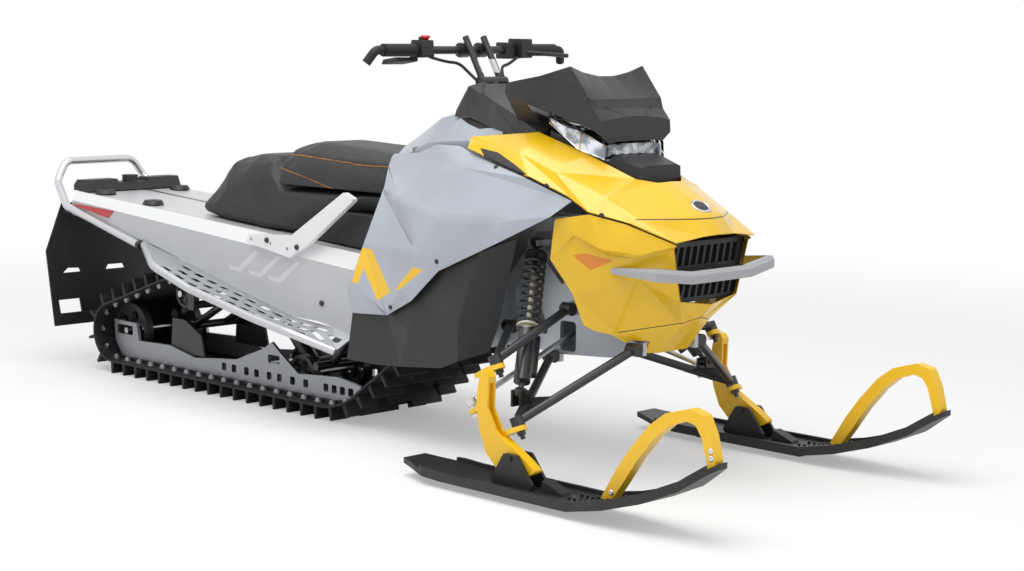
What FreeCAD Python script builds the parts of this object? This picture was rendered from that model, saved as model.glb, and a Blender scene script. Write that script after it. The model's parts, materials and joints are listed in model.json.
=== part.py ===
"""Snowmobile at full size: a rubber track under a riveted tunnel, and two steered skis.

Millimetres. +X points forward, +Y to the rider's left, +Z up. The origin lies on the ground
below the middle of the whole machine. Right-hand pieces are mirrored from left-hand ones.
"""
import FreeCAD
import Part
import math
import os

V = FreeCAD.Vector
ORIGIN = V(0, 0, 0)
AHEAD = V(1, 0, 0)
LEFT = V(0, 1, 0)
UP = V(0, 0, 1)

# Driving dimensions
overall_length = 3045.0
ski_stance = 900.0
track_width = 381.0
tunnel_width = 412.0
tunnel_rear_height = 577.0
tunnel_front_height = 478.0
cowl_length = 1140.0
cowl_half_width = 300.0
cowl_height = 1030.0
handlebar_rise = 31.0

# Clearances and overruns shared by all pieces
seat_gap = 0.3
pin_gap = 0.1
overrun = 20.0
weld_sink = 1.5

# Stations along the machine, from the grab bar at the tail to the ski tips
tail_x = -overall_length / 2
ski_tip_x = overall_length / 2
ski_centre_y = ski_stance / 2
ball_setback = 660.0
ball_x = ski_tip_x - ball_setback
cowl_reach = 268.0
cowl_front_x = ball_x + cowl_reach
cowl_rear_x = cowl_front_x - cowl_length
bumper_overhang = 161.0
tunnel_rear_x = tail_x + bumper_overhang
tunnel_nose_inset = 330.0
tunnel_front_x = cowl_rear_x + tunnel_nose_inset
tunnel_length = tunnel_front_x - tunnel_rear_x


# Small geometry helpers

def unit(vector):
    return vector * (1 / vector.Length)


def rounded(points, radius=0.0, closed=True):
    """A wire through the points, with an arc of the radius at each corner that has room."""
    room_share = 0.45
    straight_turn = math.radians(1)
    corners = []
    last = len(points) - 1
    for index, here in enumerate(points):
        back = points[index - 1] - here
        ahead = points[(index + 1) % len(points)] - here
        turn = math.pi - back.getAngle(ahead)
        at_end = not closed and index in (0, last)
        if at_end or radius <= 0 or turn < straight_turn:
            corners.append((here, here, here))
            continue
        room = min(back.Length, ahead.Length) * room_share
        reach = min(radius * math.tan(turn / 2), room)
        used = reach / math.tan(turn / 2)
        inward = unit(unit(back) + unit(ahead))
        middle = here + inward * (used / math.cos(turn / 2) - used)
        corners.append((here + unit(back) * reach, middle, here + unit(ahead) * reach))
    edges = []
    for index, (start, middle, end) in enumerate(corners):
        if (end - start).Length > 0:
            edges.append(Part.Arc(start, middle, end).toShape())
        if closed or index < last:
            following = corners[(index + 1) % len(corners)][0]
            edges.append(Part.LineSegment(end, following).toShape())
    return Part.Wire(edges)


def prism(points, along, radius=0.0):
    return Part.Face(rounded(points, radius)).extrude(along)


def side_plate(outline, y_low, y_high, radius=0.0):
    """A plate from its side view: the outline holds (x, z) pairs."""
    points = [V(x, y_low, z) for x, z in outline]
    return prism(points, V(0, y_high - y_low, 0), radius)


def plan_plate(outline, z_low, z_high, radius=0.0):
    """A plate from its plan: the outline holds (x, y) pairs."""
    points = [V(x, y, z_low) for x, y in outline]
    return prism(points, V(0, 0, z_high - z_low), radius)


def cross_plate(outline, x_low, x_high, radius=0.0):
    """A plate from its end view: the outline holds (y, z) pairs."""
    points = [V(x_low, y, z) for y, z in outline]
    return prism(points, V(x_high - x_low, 0, 0), radius)


def block(x_low, x_high, y_low, y_high, z_low, z_high):
    size = V(x_high - x_low, y_high - y_low, z_high - z_low)
    return Part.makeBox(size.x, size.y, size.z, V(x_low, y_low, z_low))


def rod(start, end, radius):
    return Part.makeCylinder(radius, (end - start).Length, start, end - start)


def disc(centre, axis, radius, width):
    start = centre - unit(axis) * (width / 2)
    return Part.makeCylinder(radius, width, start, axis)


def ring(centre, axis, radius, hole_radius, width):
    hole = disc(centre, axis, hole_radius, width + overrun)
    return disc(centre, axis, radius, width).cut(hole)


def pipe(points, radius, bend):
    path = rounded(points, bend, closed=False)
    section = Part.Wire(Part.makeCircle(radius, points[0], points[1] - points[0]))
    return path.makePipeShell([section], True, False)


def mirrored(shape):
    return shape.mirror(ORIGIN, LEFT)


def both(shape):
    return [shape, mirrored(shape)]


def joined(first, *others):
    return first.multiFuse(list(others)).removeSplitter()


def scaled(shares, x_low, x_high, z_low, z_high):
    """Outline points from shares of a box."""
    return [(x_low + (x_high - x_low) * across, z_low + (z_high - z_low) * up)
            for across, up in shares]


def loft(sections):
    """A ruled solid through polygons that all have the same number of corners."""
    wires = [Part.makePolygon(points + [points[0]]) for points in sections]
    return Part.makeLoft(wires, True, True)


def turned_alike(triangles):
    """The same triangles, each turned to run the other way along an edge than its neighbour."""
    done = [triangles[0]]
    waiting = triangles[1:]
    sides = set(zip(done[0], done[0][1:] + done[0][:1]))
    while waiting:
        for corners in waiting:
            own = set(zip(corners, corners[1:] + corners[:1]))
            if any((end, start) in sides for start, end in own):
                break
            if own & sides:
                own = {(end, start) for start, end in own}
                waiting.remove(corners)
                corners = corners[::-1]
                waiting.append(corners)
                break
        waiting.remove(corners)
        done.append(corners)
        sides |= own
    return done


def moulding(points, faces, wall, core):
    """A thin panel: outer corners by name, faces as names, wall measured towards the core."""
    triangles = []
    for face in faces:
        for step in range(1, len(face) - 1):
            triangles.append([face[0], face[step], face[step + 1]])
    triangles = turned_alike(triangles)
    a, b, c = [points[name] for name in triangles[0]]
    if (b - a).cross(c - a).dot((a + b + c) * (1 / 3) - core) < 0:
        triangles = [corners[::-1] for corners in triangles]
    normals = {}
    for corners in triangles:
        a, b, c = [points[name] for name in corners]
        normal = unit((b - a).cross(c - a))
        for name in corners:
            normals[name] = normals.get(name, V(0, 0, 0)) + normal
    inner = {name: points[name] - unit(normals[name]) * wall for name in normals}
    edges = {}
    shell = []
    for corners in triangles:
        shell.append([points[name] for name in corners])
        shell.append([inner[name] for name in reversed(corners)])
        for start, end in zip(corners, corners[1:] + corners[:1]):
            edges[(start, end)] = True
    for start, end in edges:
        if (end, start) not in edges:
            shell.append([points[end], points[start], inner[start]])
            shell.append([points[end], inner[start], inner[end]])
    flats = [Part.Face(Part.makePolygon(corners + [corners[0]])) for corners in shell]
    solid = Part.Solid(Part.makeShell(flats))
    if solid.Volume < 0:
        solid.reverse()
    return solid


def with_mirror(points, faces):
    """Adds the right-hand half of a panel that crosses the middle plane."""
    whole = dict(points)
    for name, point in points.items():
        if point.y > 0:
            whole[name + " right"] = V(point.x, -point.y, point.z)
    other = [[name + " right" if name + " right" in whole else name for name in face]
             for face in faces]
    return whole, faces + other


def cowl_point(x_share, y_share, z_share):
    return V(cowl_rear_x + cowl_length * x_share, cowl_half_width * y_share,
             cowl_height * z_share)


def cowl_points(shares):
    return {name: cowl_point(*values) for name, values in shares.items()}


def save(node, *solids):
    shape = solids[0] if len(solids) == 1 else Part.makeCompound(list(solids))
    shape.exportStep("parts/" + node + ".step")


# Track: an endless belt over sprockets, carrier wheels, rear wheels and the bow of the rails
lug_height = 38.0
belt_thickness = 6.0
sprocket_radius = 90.0
drive_axle_inset = 190.0
drive_axle_height = 335.0
rear_wheel_radius = 90.0
rear_axle_inset = 343.0
carrier_radius = 46.0
carrier_spacing = 290.0
carrier_height = 283.0
rail_bow_radius = 250.0
rail_bow_setback = 330.0
lug_pitch = 62.8
lug_foot = 15.0
lug_tip = 8.0
lug_outer_width = 118.0
lug_edge_width = 66.0
lug_middle_width = 150.0
belt_edge = 6.0

belt_floor = lug_height + belt_thickness
drive_x = cowl_rear_x + drive_axle_inset
rear_axle_x = tail_x + rear_axle_inset
rear_axle_height = belt_floor + rear_wheel_radius
carrier_x = rear_axle_x + carrier_spacing
bow_x = drive_x - rail_bow_setback


def loop_circles(offset):
    """Circles that the belt wraps, anticlockwise from the drive, grown by the offset."""
    return [(drive_x, drive_axle_height, sprocket_radius + offset),
            (carrier_x, carrier_height, carrier_radius + offset),
            (rear_axle_x, rear_axle_height, rear_wheel_radius + offset),
            (bow_x, belt_floor + rail_bow_radius, rail_bow_radius + offset)]


def outward(first, second):
    """Unit normal of the outer tangent from one circle to the next."""
    across = V(second[0] - first[0], 0, second[1] - first[1])
    along = unit(across)
    lean = (first[2] - second[2]) / across.Length
    sideways = V(along.z, 0, -along.x)
    return along * lean + sideways * math.sqrt(1 - lean * lean)


def loop_spans(offset):
    """Arcs and straights of the loop: (kind, start, end, centre, radius)."""
    circles = loop_circles(offset)
    spans = []
    for index, circle in enumerate(circles):
        before = circles[index - 1]
        after = circles[(index + 1) % len(circles)]
        centre = V(circle[0], 0, circle[1])
        n_in = outward(before, circle)
        n_out = outward(circle, after)
        spans.append(("arc", centre + n_in * circle[2], centre + n_out * circle[2],
                      centre, circle[2]))
        start = centre + n_out * circle[2]
        end = V(after[0], 0, after[1]) + n_out * after[2]
        spans.append(("line", start, end, n_out, 0))
    return spans


def loop_wire(offset):
    edges = []
    for kind, start, end, centre, radius in loop_spans(offset):
        if kind == "line":
            edges.append(Part.LineSegment(start, end).toShape())
        else:
            middle = centre + unit((start - centre) + (end - centre)) * radius
            edges.append(Part.Arc(start, middle, end).toShape())
    return Part.Wire(edges)


def loop_prism(offset, width):
    face = Part.Face(loop_wire(offset))
    face.translate(V(0, -width / 2, 0))
    return face.extrude(V(0, width, 0))


def loop_stations(offset, count):
    """Evenly spaced points on the loop, each with its outward normal."""
    spans = loop_spans(offset)
    lengths = []
    for kind, start, end, centre, radius in spans:
        if kind == "line":
            lengths.append((end - start).Length)
        else:
            lengths.append(radius * (start - centre).getAngle(end - centre))
    step = sum(lengths) / count
    stations = []
    for index in range(count):
        distance = (index + 0.5) * step
        for (kind, start, end, centre, radius), length in zip(spans, lengths):
            if distance <= length:
                break
            distance -= length
        if kind == "line":
            stations.append((start + unit(end - start) * distance, centre))
            continue
        first = unit(start - centre)
        quarter = V(-first.z, 0, first.x)
        angle = distance / radius
        normal = first * math.cos(angle) + quarter * math.sin(angle)
        stations.append((centre + normal * radius, normal))
    return stations


def lug(point, normal, y_low, y_high):
    along = V(-normal.z, 0, normal.x)
    foot = point - normal * weld_sink
    tip = point + normal * lug_height
    corners = [foot - along * (lug_foot / 2), foot + along * (lug_foot / 2),
               tip + along * (lug_tip / 2), tip - along * (lug_tip / 2)]
    raised = [V(c.x, y_low, c.z) for c in corners]
    return prism(raised, V(0, y_high - y_low, 0))


def make_track():
    belt = loop_prism(belt_thickness, track_width).cut(loop_prism(0, track_width + overrun))
    length = loop_wire(belt_thickness / 2).Length
    rows = round(length / lug_pitch / 2) * 2
    lugs = []
    edge = track_width / 2 - belt_edge
    for index, (point, normal) in enumerate(loop_stations(belt_thickness, rows)):
        width = lug_edge_width if index % 2 else lug_outer_width
        lugs += both(lug(point, normal, edge - width, edge))
        if index % 2:
            lugs.append(lug(point, normal, -lug_middle_width / 2, lug_middle_width / 2))
    print("track loop mm", round(length), "rows", rows)
    return joined(belt, *lugs)


# Tunnel: folded sheet with a sloped band along each side
sheet = 3.0
tunnel_deck_half = 186.0
tunnel_fold_rear = 29.0
tunnel_fold_front = 50.0
tunnel_depth = 262.0
tunnel_drop_shares = [(0, 0.29), (0.263, 0.424), (0.656, 0.843), (0.73, 0.819), (0.82, 0.875),
                      (1, 0.85)]


def tunnel_top(x):
    slope = (tunnel_front_height - tunnel_rear_height) / tunnel_length
    return tunnel_rear_height + slope * (x - tunnel_rear_x)


def tunnel_low_edge():
    """Lower edge of the tunnel's side, rear to front, as (x, z) pairs."""
    length = tunnel_front_x - tunnel_rear_x
    edge = []
    for along, down in tunnel_drop_shares:
        x = tunnel_rear_x + length * along
        edge.append((x, tunnel_top(x) - tunnel_depth * down))
    return edge


def low_edge_height(x):
    low = tunnel_low_edge()
    for start, end in zip(low, low[1:]):
        if start[0] <= x <= end[0]:
            return start[1] + (end[1] - start[1]) * (x - start[0]) / (end[0] - start[0])
    return low[-1][1]


def tunnel_section(x, fold, inset):
    """Half hexagon across the tunnel, drawn inside the outer skin by the inset."""
    top = tunnel_top(x) - inset
    deck = tunnel_deck_half - inset / 2
    side = tunnel_width / 2 - inset
    low = top - 2 * tunnel_depth
    left = [V(x, deck, top), V(x, side, top - fold), V(x, side, low)]
    return left + [V(p.x, -p.y, p.z) for p in reversed(left)]


def make_tunnel():
    ends = ((tunnel_rear_x, tunnel_fold_rear), (tunnel_front_x, tunnel_fold_front))
    outer = loft([tunnel_section(x, fold, 0) for x, fold in ends])
    longer = ((tunnel_rear_x - overrun, tunnel_fold_rear), (tunnel_front_x + overrun, tunnel_fold_front))
    inner = loft([tunnel_section(x, fold, sheet) for x, fold in longer])
    profile = tunnel_low_edge() + [(tunnel_front_x, cowl_height), (tunnel_rear_x, cowl_height)]
    return outer.cut(inner).common(side_plate(profile, -tunnel_width, tunnel_width))


# Running boards: perforated sheet with a rolled outer tube that joins the tunnel at the rear
board_half = 350.0
board_sheet = 4.0
board_tube_radius = 12.0
board_toe_half = 280.0
board_tube_bend = 120.0
board_tube_shares = [(0.245, 0.759), (0.38, 0.70), (0.485, 0.612), (0.665, 0.518), (0.77, 0.475),
                     (0.824, 0.40)]
slot_length = 44.0
slot_width = 22.0
slot_corner = 8.0
slot_pitch = 62.0
slot_rows_shares = [0.24, 0.50, 0.76]
slots_start = 150.0
slots_end = 20.0


def board_tube_line():
    """The outer edge of the left board, rear to front; shares of tunnel length and height."""
    length = tunnel_front_x - tunnel_rear_x
    side = tunnel_width / 2 + board_tube_radius + seat_gap
    halves = [side] + [board_half] * (len(board_tube_shares) - 2) + [board_toe_half]
    return [V(tunnel_rear_x + length * along, half, tunnel_rear_height * up)
            for (along, up), half in zip(board_tube_shares, halves)]


def board_slots(rear_x, front_x):
    """Upright cutters for the rows of openings, each row set off by half a pitch."""
    inner = tunnel_width / 2
    slots = []
    for row, share in enumerate(slot_rows_shares):
        y = inner + (board_half - inner) * share
        x = rear_x + slots_start + (row % 2) * slot_pitch / 2
        while x + slot_length < front_x - slots_end:
            plan = [(x, y - slot_width / 2), (x + slot_length, y - slot_width / 2),
                    (x + slot_length, y + slot_width / 2), (x, y + slot_width / 2)]
            slots.append(plan_plate(plan, 0, tunnel_rear_height, slot_corner))
            x += slot_pitch
    return slots


def make_running_board():
    outer = board_tube_line()
    side = tunnel_width / 2 + seat_gap
    inner = [V(p.x, side, low_edge_height(p.x)) for p in outer]
    sheets = []
    for start in range(len(inner) - 1):
        corners = [inner[start], inner[start + 1], outer[start + 1], outer[start]]
        for triangle in ((0, 1, 2), (0, 2, 3)):
            face = Part.Face(Part.makePolygon([corners[i] for i in triangle + (triangle[0],)]))
            sheets.append(face.extrude(V(0, 0, -board_sheet)))
    plate = joined(sheets[0], *sheets[1:])
    tube = pipe(outer, board_tube_radius, board_tube_bend)
    plate = plate.cut(Part.makeCompound(board_slots(outer[1].x - slots_start, outer[-1].x)))
    return joined(tube, plate)


# Cowling moulded panels, as shares of the cowl's length, half width and height
panel_wall = 4.0
side_panel_shares = {
    "top rear": (0.12, 0.53, 0.755), "rear 1": (0.115, 0.575, 0.72),
    "rear 2": (0.125, 0.67, 0.65), "rear 3": (0.095, 0.80, 0.52),
    "rear 4": (0.06, 0.83, 0.42), "rear 5": (0.045, 0.83, 0.39),
    "toe rear": (0.065, 0.83, 0.33), "toe front": (0.195, 0.865, 0.34),
    "low 1": (0.29, 0.90, 0.39), "low 2": (0.40, 0.95, 0.485),
    "low 3": (0.575, 0.95, 0.565), "low 4": (0.73, 0.90, 0.645),
    "tip": (0.775, 0.83, 0.685), "top 1": (0.63, 0.815, 0.73),
    "top 2": (0.44, 0.67, 0.77), "top 3": (0.37, 0.60, 0.79),
    "top 4": (0.285, 0.58, 0.79), "top 5": (0.23, 0.57, 0.765),
    "chamfer": (0.585, 0.935, 0.625), "knee": (0.40, 0.965, 0.62),
    "knee low": (0.335, 0.96, 0.52), "knee rear": (0.235, 0.85, 0.645),
    "brow": (0.425, 0.785, 0.742), "brow rear": (0.205, 0.70, 0.697)}
side_panel_faces = [
    ["top rear", "rear 1", "brow rear", "top 5"], ["top 5", "brow rear", "brow", "top 4"],
    ["top 4", "brow", "top 3"], ["top 3", "brow", "top 2"], ["top 2", "brow", "top 1"],
    ["rear 1", "rear 2", "knee rear", "brow rear"], ["brow rear", "knee rear", "knee", "brow"],
    ["brow", "knee", "chamfer", "tip", "top 1"],
    ["rear 2", "rear 3", "knee low", "knee rear"], ["knee rear", "knee low", "knee"],
    ["rear 3", "rear 4", "toe front", "knee low"], ["rear 4", "rear 5", "toe rear", "toe front"],
    ["knee low", "toe front", "low 1", "low 2"], ["knee", "knee low", "low 2", "chamfer"],
    ["chamfer", "low 2", "low 3"], ["chamfer", "low 3", "low 4", "tip"]]
lower_panel_shares = {
    "rear top": (0.055, 0.79, 0.345), "top 1": (0.18, 0.80, 0.35), "top 2": (0.27, 0.83, 0.40),
    "top 3": (0.385, 0.88, 0.50), "top 4": (0.51, 0.88, 0.54), "front top": (0.59, 0.73, 0.58),
    "front low": (0.51, 0.66, 0.335), "front foot": (0.485, 0.66, 0.275),
    "corner": (0.435, 0.86, 0.345), "low 1": (0.42, 0.80, 0.247), "low 2": (0.365, 0.80, 0.222),
    "low 3": (0.225, 0.80, 0.206), "low 4": (0.14, 0.80, 0.20), "rear low": (0.035, 0.80, 0.20),
    "belly": (0.27, 0.86, 0.30)}
lower_panel_faces = [
    ["rear top", "rear low", "low 4", "top 1"], ["top 1", "low 4", "low 3", "belly"],
    ["top 1", "belly", "top 2"], ["top 2", "belly", "corner", "top 3"],
    ["belly", "low 3", "low 2", "low 1", "corner"], ["top 3", "corner", "top 4"],
    ["top 4", "corner", "front low", "front top"],
    ["corner", "low 1", "front foot", "front low"]]
hood_shares = {
    "tail": (0.40, 0.583, 0.815), "tail low": (0.412, 0.667, 0.788),
    "edge 1": (0.578, 0.667, 0.785), "edge 2": (0.683, 0.667, 0.746),
    "edge 3": (0.819, 0.633, 0.695), "edge 4": (0.92, 0.567, 0.642),
    "lip": (1.0, 0.507, 0.60), "skirt 1": (0.638, 0.817, 0.737),
    "skirt 2": (0.765, 0.835, 0.698), "skirt 3": (0.812, 0.785, 0.663),
    "skirt 4": (0.894, 0.66, 0.642), "top 0": (0.462, 0.467, 0.823),
    "top 1": (0.575, 0.433, 0.835), "top 2": (0.71, 0.40, 0.791),
    "top 3": (0.833, 0.30, 0.735), "keel 1": (0.864, 0.17, 0.725),
    "keel 2": (0.972, 0.185, 0.655), "keel 3": (1.003, 0.20, 0.61),
    "centre 1": (0.87, 0, 0.727), "centre 2": (0.98, 0, 0.657), "centre 3": (1.012, 0, 0.612)}
hood_faces = [
    ["tail", "top 0", "top 1", "edge 1"], ["edge 1", "top 1", "top 2", "edge 2"],
    ["edge 2", "top 2", "top 3", "edge 3"], ["edge 3", "top 3", "keel 1", "keel 2", "edge 4"],
    ["edge 4", "keel 2", "keel 3", "lip"], ["keel 1", "centre 1", "centre 2", "keel 2"],
    ["keel 2", "centre 2", "centre 3", "keel 3"], ["tail", "edge 1", "skirt 1", "tail low"],
    ["edge 1", "edge 2", "skirt 2", "skirt 1"], ["edge 2", "edge 3", "skirt 3", "skirt 2"],
    ["edge 3", "edge 4", "skirt 4", "skirt 3"], ["edge 4", "lip", "skirt 4"]]
nose_shares = {
    "brow": (0.727, 0.833, 0.638), "brow front": (0.812, 0.775, 0.655),
    "cheek": (0.778, 0.817, 0.604), "back": (0.715, 0.833, 0.54),
    "lip 1": (0.845, 0.77, 0.575), "lip 2": (0.93, 0.64, 0.565), "lip": (0.995, 0.49, 0.592),
    "under cheek": (0.786, 0.782, 0.594), "under 1": (0.849, 0.735, 0.565),
    "under 2": (0.926, 0.612, 0.555), "under lip": (0.984, 0.47, 0.580),
    "skirt": (0.894, 0.65, 0.634), "side low": (0.773, 0.783, 0.458),
    "heel 1": (0.792, 0.733, 0.386), "heel 2": (0.811, 0.667, 0.372),
    "heel 3": (0.843, 0.567, 0.364), "chin side": (0.863, 0.333, 0.315),
    "chin": (0.884, 0.20, 0.314), "jaw": (0.946, 0.167, 0.39), "mouth": (0.982, 0.367, 0.453),
    "cheek low": (0.913, 0.60, 0.51), "mouth mid": (0.99, 0, 0.44), "jaw mid": (0.95, 0, 0.39),
    "chin mid": (0.886, 0, 0.314)}
nose_faces = [
    ["brow", "brow front", "cheek", "back"], ["brow front", "skirt", "lip 2", "lip 1", "cheek"],
    ["skirt", "lip", "lip 2"], ["cheek", "lip 1", "under 1", "under cheek"],
    ["lip 1", "lip 2", "under 2", "under 1"], ["lip 2", "lip", "under lip", "under 2"],
    ["back", "cheek", "under cheek"], ["under cheek", "under 1", "under 2", "cheek low", "side low", "back"],
    ["under 2", "under lip", "mouth", "cheek low"],
    ["side low", "cheek low", "heel 3", "heel 2", "heel 1"],
    ["cheek low", "mouth", "jaw", "heel 3"], ["heel 3", "jaw", "chin", "chin side"],
    ["mouth", "mouth mid", "jaw mid", "jaw"], ["jaw", "jaw mid", "chin mid", "chin"]]
cowl_core = cowl_point(0.5, 0, 0.45)


def make_side_panel():
    return moulding(cowl_points(side_panel_shares), side_panel_faces, panel_wall, cowl_core)


def make_lower_panel():
    return moulding(cowl_points(lower_panel_shares), lower_panel_faces, panel_wall, cowl_core)


def make_hood():
    points, faces = with_mirror(cowl_points(hood_shares), hood_faces)
    return moulding(points, faces, panel_wall, cowl_core)


def make_nose():
    points, faces = with_mirror(cowl_points(nose_shares), nose_faces)
    nose = moulding(points, faces, panel_wall, cowl_core)
    pivot = hard_point("lower front")
    notch = rod(pivot + unit(lower_ball - pivot) * cowl_half_width, pivot, arm_tube_radius + arm_room)
    boss = disc(pivot, AHEAD, boss_radius + arm_room, boss_length + 2 * arm_room)
    ear_room = block(pivot.x - ear_half - arm_room, pivot.x + ear_half + arm_room,
                     frame_half - frame_wall - arm_room, pivot.y,
                     pivot.z - ear_half - arm_room, pivot.z + ear_half + arm_room)
    return without(nose, *both(notch), *both(boss), *both(ear_room))


vent_shares = [(0.449, 0.657, 0.79), (0.511, 0.677, 0.783), (0.578, 0.744, 0.76),
               (0.637, 0.812, 0.738), (0.569, 0.788, 0.746), (0.48, 0.718, 0.771)]
vent_depth = 40.0
vent_growth = 1.012


def vent_cutters(growth):
    """Prisms through the hood at its black side vents, grown about their middle."""
    points = [cowl_point(*shares) for shares in vent_shares]
    centre = sum(points, V(0, 0, 0)) * (1 / len(points))
    across = unit((points[2] - points[0]).cross(points[4] - points[0]))
    corners = []
    for point in points:
        flat = point - across * (point - centre).dot(across)
        corners.append(centre + (flat - centre) * growth - across * (vent_depth / 2))
    return Part.makeCompound(both(prism(corners, across * vent_depth)))


def make_hood_vents(hood):
    return hood.common(vent_cutters(1)).Solids


def cowl_section(shares):
    """A closed cross section: one x share, then (y, z) shares down the left side."""
    x_share, half = shares
    left = [cowl_point(x_share, y_share, z_share) for y_share, z_share in half]
    right = [V(p.x, -p.y, p.z) for p in reversed(left)]
    return left + right


# Tank cover, console, windshield and lamp, lofted through cross sections as shares
tank_shares = [
    (0.11, [(0.05, 0.775), (0.36, 0.770), (0.48, 0.74), (0.50, 0.66)]),
    (0.16, [(0.05, 0.825), (0.36, 0.800), (0.50, 0.755), (0.52, 0.66)]),
    (0.235, [(0.05, 0.872), (0.34, 0.853), (0.52, 0.79), (0.55, 0.70)]),
    (0.325, [(0.05, 0.895), (0.38, 0.872), (0.56, 0.80), (0.56, 0.70)]),
    (0.46, [(0.05, 0.87), (0.42, 0.835), (0.44, 0.81), (0.46, 0.72)])]
console_shares = [
    (0.30, [(0.05, 0.90), (0.20, 0.90), (0.40, 0.877), (0.42, 0.86)]),
    (0.335, [(0.05, 0.95), (0.20, 0.95), (0.38, 0.94), (0.42, 0.865)]),
    (0.42, [(0.05, 0.915), (0.24, 0.915), (0.34, 0.90), (0.43, 0.84)]),
    (0.58, [(0.05, 0.86), (0.24, 0.86), (0.42, 0.83), (0.42, 0.80)])]
windshield_shares = [
    (0.50, [(0.10, 0.925), (0.40, 0.925), (0.54, 0.955), (0.56, 0.93), (0.34, 0.84)]),
    (0.60, [(0.10, 0.965), (0.38, 0.97), (0.52, 0.975), (0.52, 0.895), (0.34, 0.86)]),
    (0.675, [(0.10, 0.975), (0.30, 0.985), (0.46, 1.0), (0.50, 0.872), (0.34, 0.845)]),
    (0.733, [(0.10, 0.921), (0.30, 0.922), (0.455, 0.922), (0.47, 0.855), (0.34, 0.828)]),
    (0.743, [(0.10, 0.900), (0.30, 0.898), (0.445, 0.895), (0.46, 0.850), (0.34, 0.824)]),
    (0.765, [(0.10, 0.88), (0.30, 0.875), (0.44, 0.868), (0.45, 0.838), (0.34, 0.815)])]
lens_shares = [
    (0.61, [(0.10, 0.85), (0.30, 0.86), (0.44, 0.885), (0.45, 0.86)]),
    (0.70, [(0.10, 0.85), (0.30, 0.855), (0.43, 0.85), (0.46, 0.80)]),
    (0.765, [(0.10, 0.82), (0.25, 0.82), (0.36, 0.815), (0.37, 0.775)])]
bezel_shares = [
    (0.60, [(0.10, 0.83), (0.28, 0.83), (0.38, 0.84), (0.395, 0.80)]),
    (0.72, [(0.10, 0.80), (0.28, 0.80), (0.36, 0.795), (0.365, 0.755)]),
    (0.84, [(0.10, 0.765), (0.20, 0.765), (0.25, 0.76), (0.26, 0.715)])]


shell_wall = 5.0


def cowl_loft(tables):
    return loft([cowl_section(shares) for shares in tables])


def cowl_shell(tables):
    """The loft as a cover of one wall's thickness, closed at the front and open below."""
    inner = []
    for x_share, half in tables:
        inner.append((x_share, [(y_share - shell_wall / cowl_half_width,
                                 z_share - shell_wall / cowl_height) for y_share, z_share in half]))
    last_x, last_half = inner[-1]
    inner[-1] = (last_x - shell_wall / cowl_length, last_half)
    return cowl_loft(tables).cut(cowl_loft(inner))


# Seat: a short raised cushion on a tail-shaped base, as rings of (out, up) shares
seat_length = tunnel_length * 0.5351
seat_half = 150.0
seat_rise = 270.0
seat_foot_height = 512.0
seat_front_share = 0.125
seat_base_shares = [
    (0.0, [(0.62, 0.245), (0.88, 0.23), (0.94, 0.21), (0.94, 0.195), (0.80, 0.08)]),
    (0.145, [(0.60, 0.76), (0.80, 0.735), (0.96, 0.55), (1.0, 0.13), (0.85, 0.03)]),
    (0.27, [(0.60, 0.84), (0.78, 0.82), (0.94, 0.70), (1.0, 0.07), (0.85, -0.02)]),
    (0.36, [(0.60, 0.84), (0.80, 0.80), (0.96, 0.66), (1.0, 0.045), (0.85, -0.05)]),
    (0.43, [(0.60, 0.50), (0.80, 0.50), (0.97, 0.49), (1.0, 0.15), (0.85, -0.03)]),
    (0.745, [(0.60, 0.52), (0.80, 0.52), (0.98, 0.52), (1.0, 0.49), (0.80, 0.30)]),
    (1.0, [(0.60, 0.53), (0.80, 0.53), (0.98, 0.53), (1.0, 0.50), (0.80, 0.35)])]
seat_cushion_shares = [
    (0.415, [(0.50, 0.82), (0.70, 0.80), (0.95, 0.70), (1.0, 0.56)]),
    (0.44, [(0.50, 0.96), (0.66, 0.94), (0.93, 0.80), (1.0, 0.535)]),
    (0.56, [(0.50, 1.02), (0.72, 1.0), (0.94, 0.88), (1.0, 0.54)]),
    (0.80, [(0.50, 0.99), (0.80, 0.97), (0.97, 0.88), (1.0, 0.54)]),
    (0.985, [(0.50, 0.95), (0.86, 0.93), (0.98, 0.85), (1.0, 0.55)])]


def seat_loft(ring_shares):
    rear = cowl_rear_x + cowl_length * seat_front_share - seat_length
    sections = []
    for along, half in ring_shares:
        x = rear + seat_length * along
        left = [V(x, seat_half * out, seat_foot_height + seat_rise * up) for out, up in half]
        sections.append(left + [V(p.x, -p.y, p.z) for p in reversed(left)])
    return loft(sections)


def make_seat_base():
    above = [(tunnel_rear_x, tunnel_rear_height + seat_gap),
             (tunnel_front_x, tunnel_front_height + seat_gap),
             (tunnel_front_x, cowl_height), (tunnel_rear_x, cowl_height)]
    return seat_loft(seat_base_shares).common(side_plate(above, -tunnel_width, tunnel_width))


def make_seat_cushion():
    return seat_loft(seat_cushion_shares).cut(cowl_loft(tank_shares)).cut(make_seat_base())


# Rear: grab bar, tail housing, light, reflectors, snow flap and fittings on the tunnel
bumper_radius = 12.5
bumper_top_height = 663.0
bumper_top_half = 131.0
bumper_mid_half = 172.0
bumper_mid_height = 600.0
bumper_low_height = 528.0
bumper_foot_inset = 540.0
bumper_foot_height = 437.0
bumper_bend = 45.0
plug_length = 16.0


def bumper_line():
    side_y = tunnel_width / 2 + bumper_radius + seat_gap
    top_x = tail_x + bumper_radius
    return [V(tail_x + bumper_foot_inset, side_y, bumper_foot_height),
            V(tunnel_rear_x - bumper_radius, side_y, bumper_low_height),
            V(top_x + bumper_radius, bumper_mid_half, bumper_mid_height),
            V(top_x, bumper_top_half, bumper_top_height)]


def make_rear_bumper():
    left = bumper_line()
    right = [V(p.x, -p.y, p.z) for p in reversed(left)]
    return pipe(left + right, bumper_radius, bumper_bend)


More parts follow.
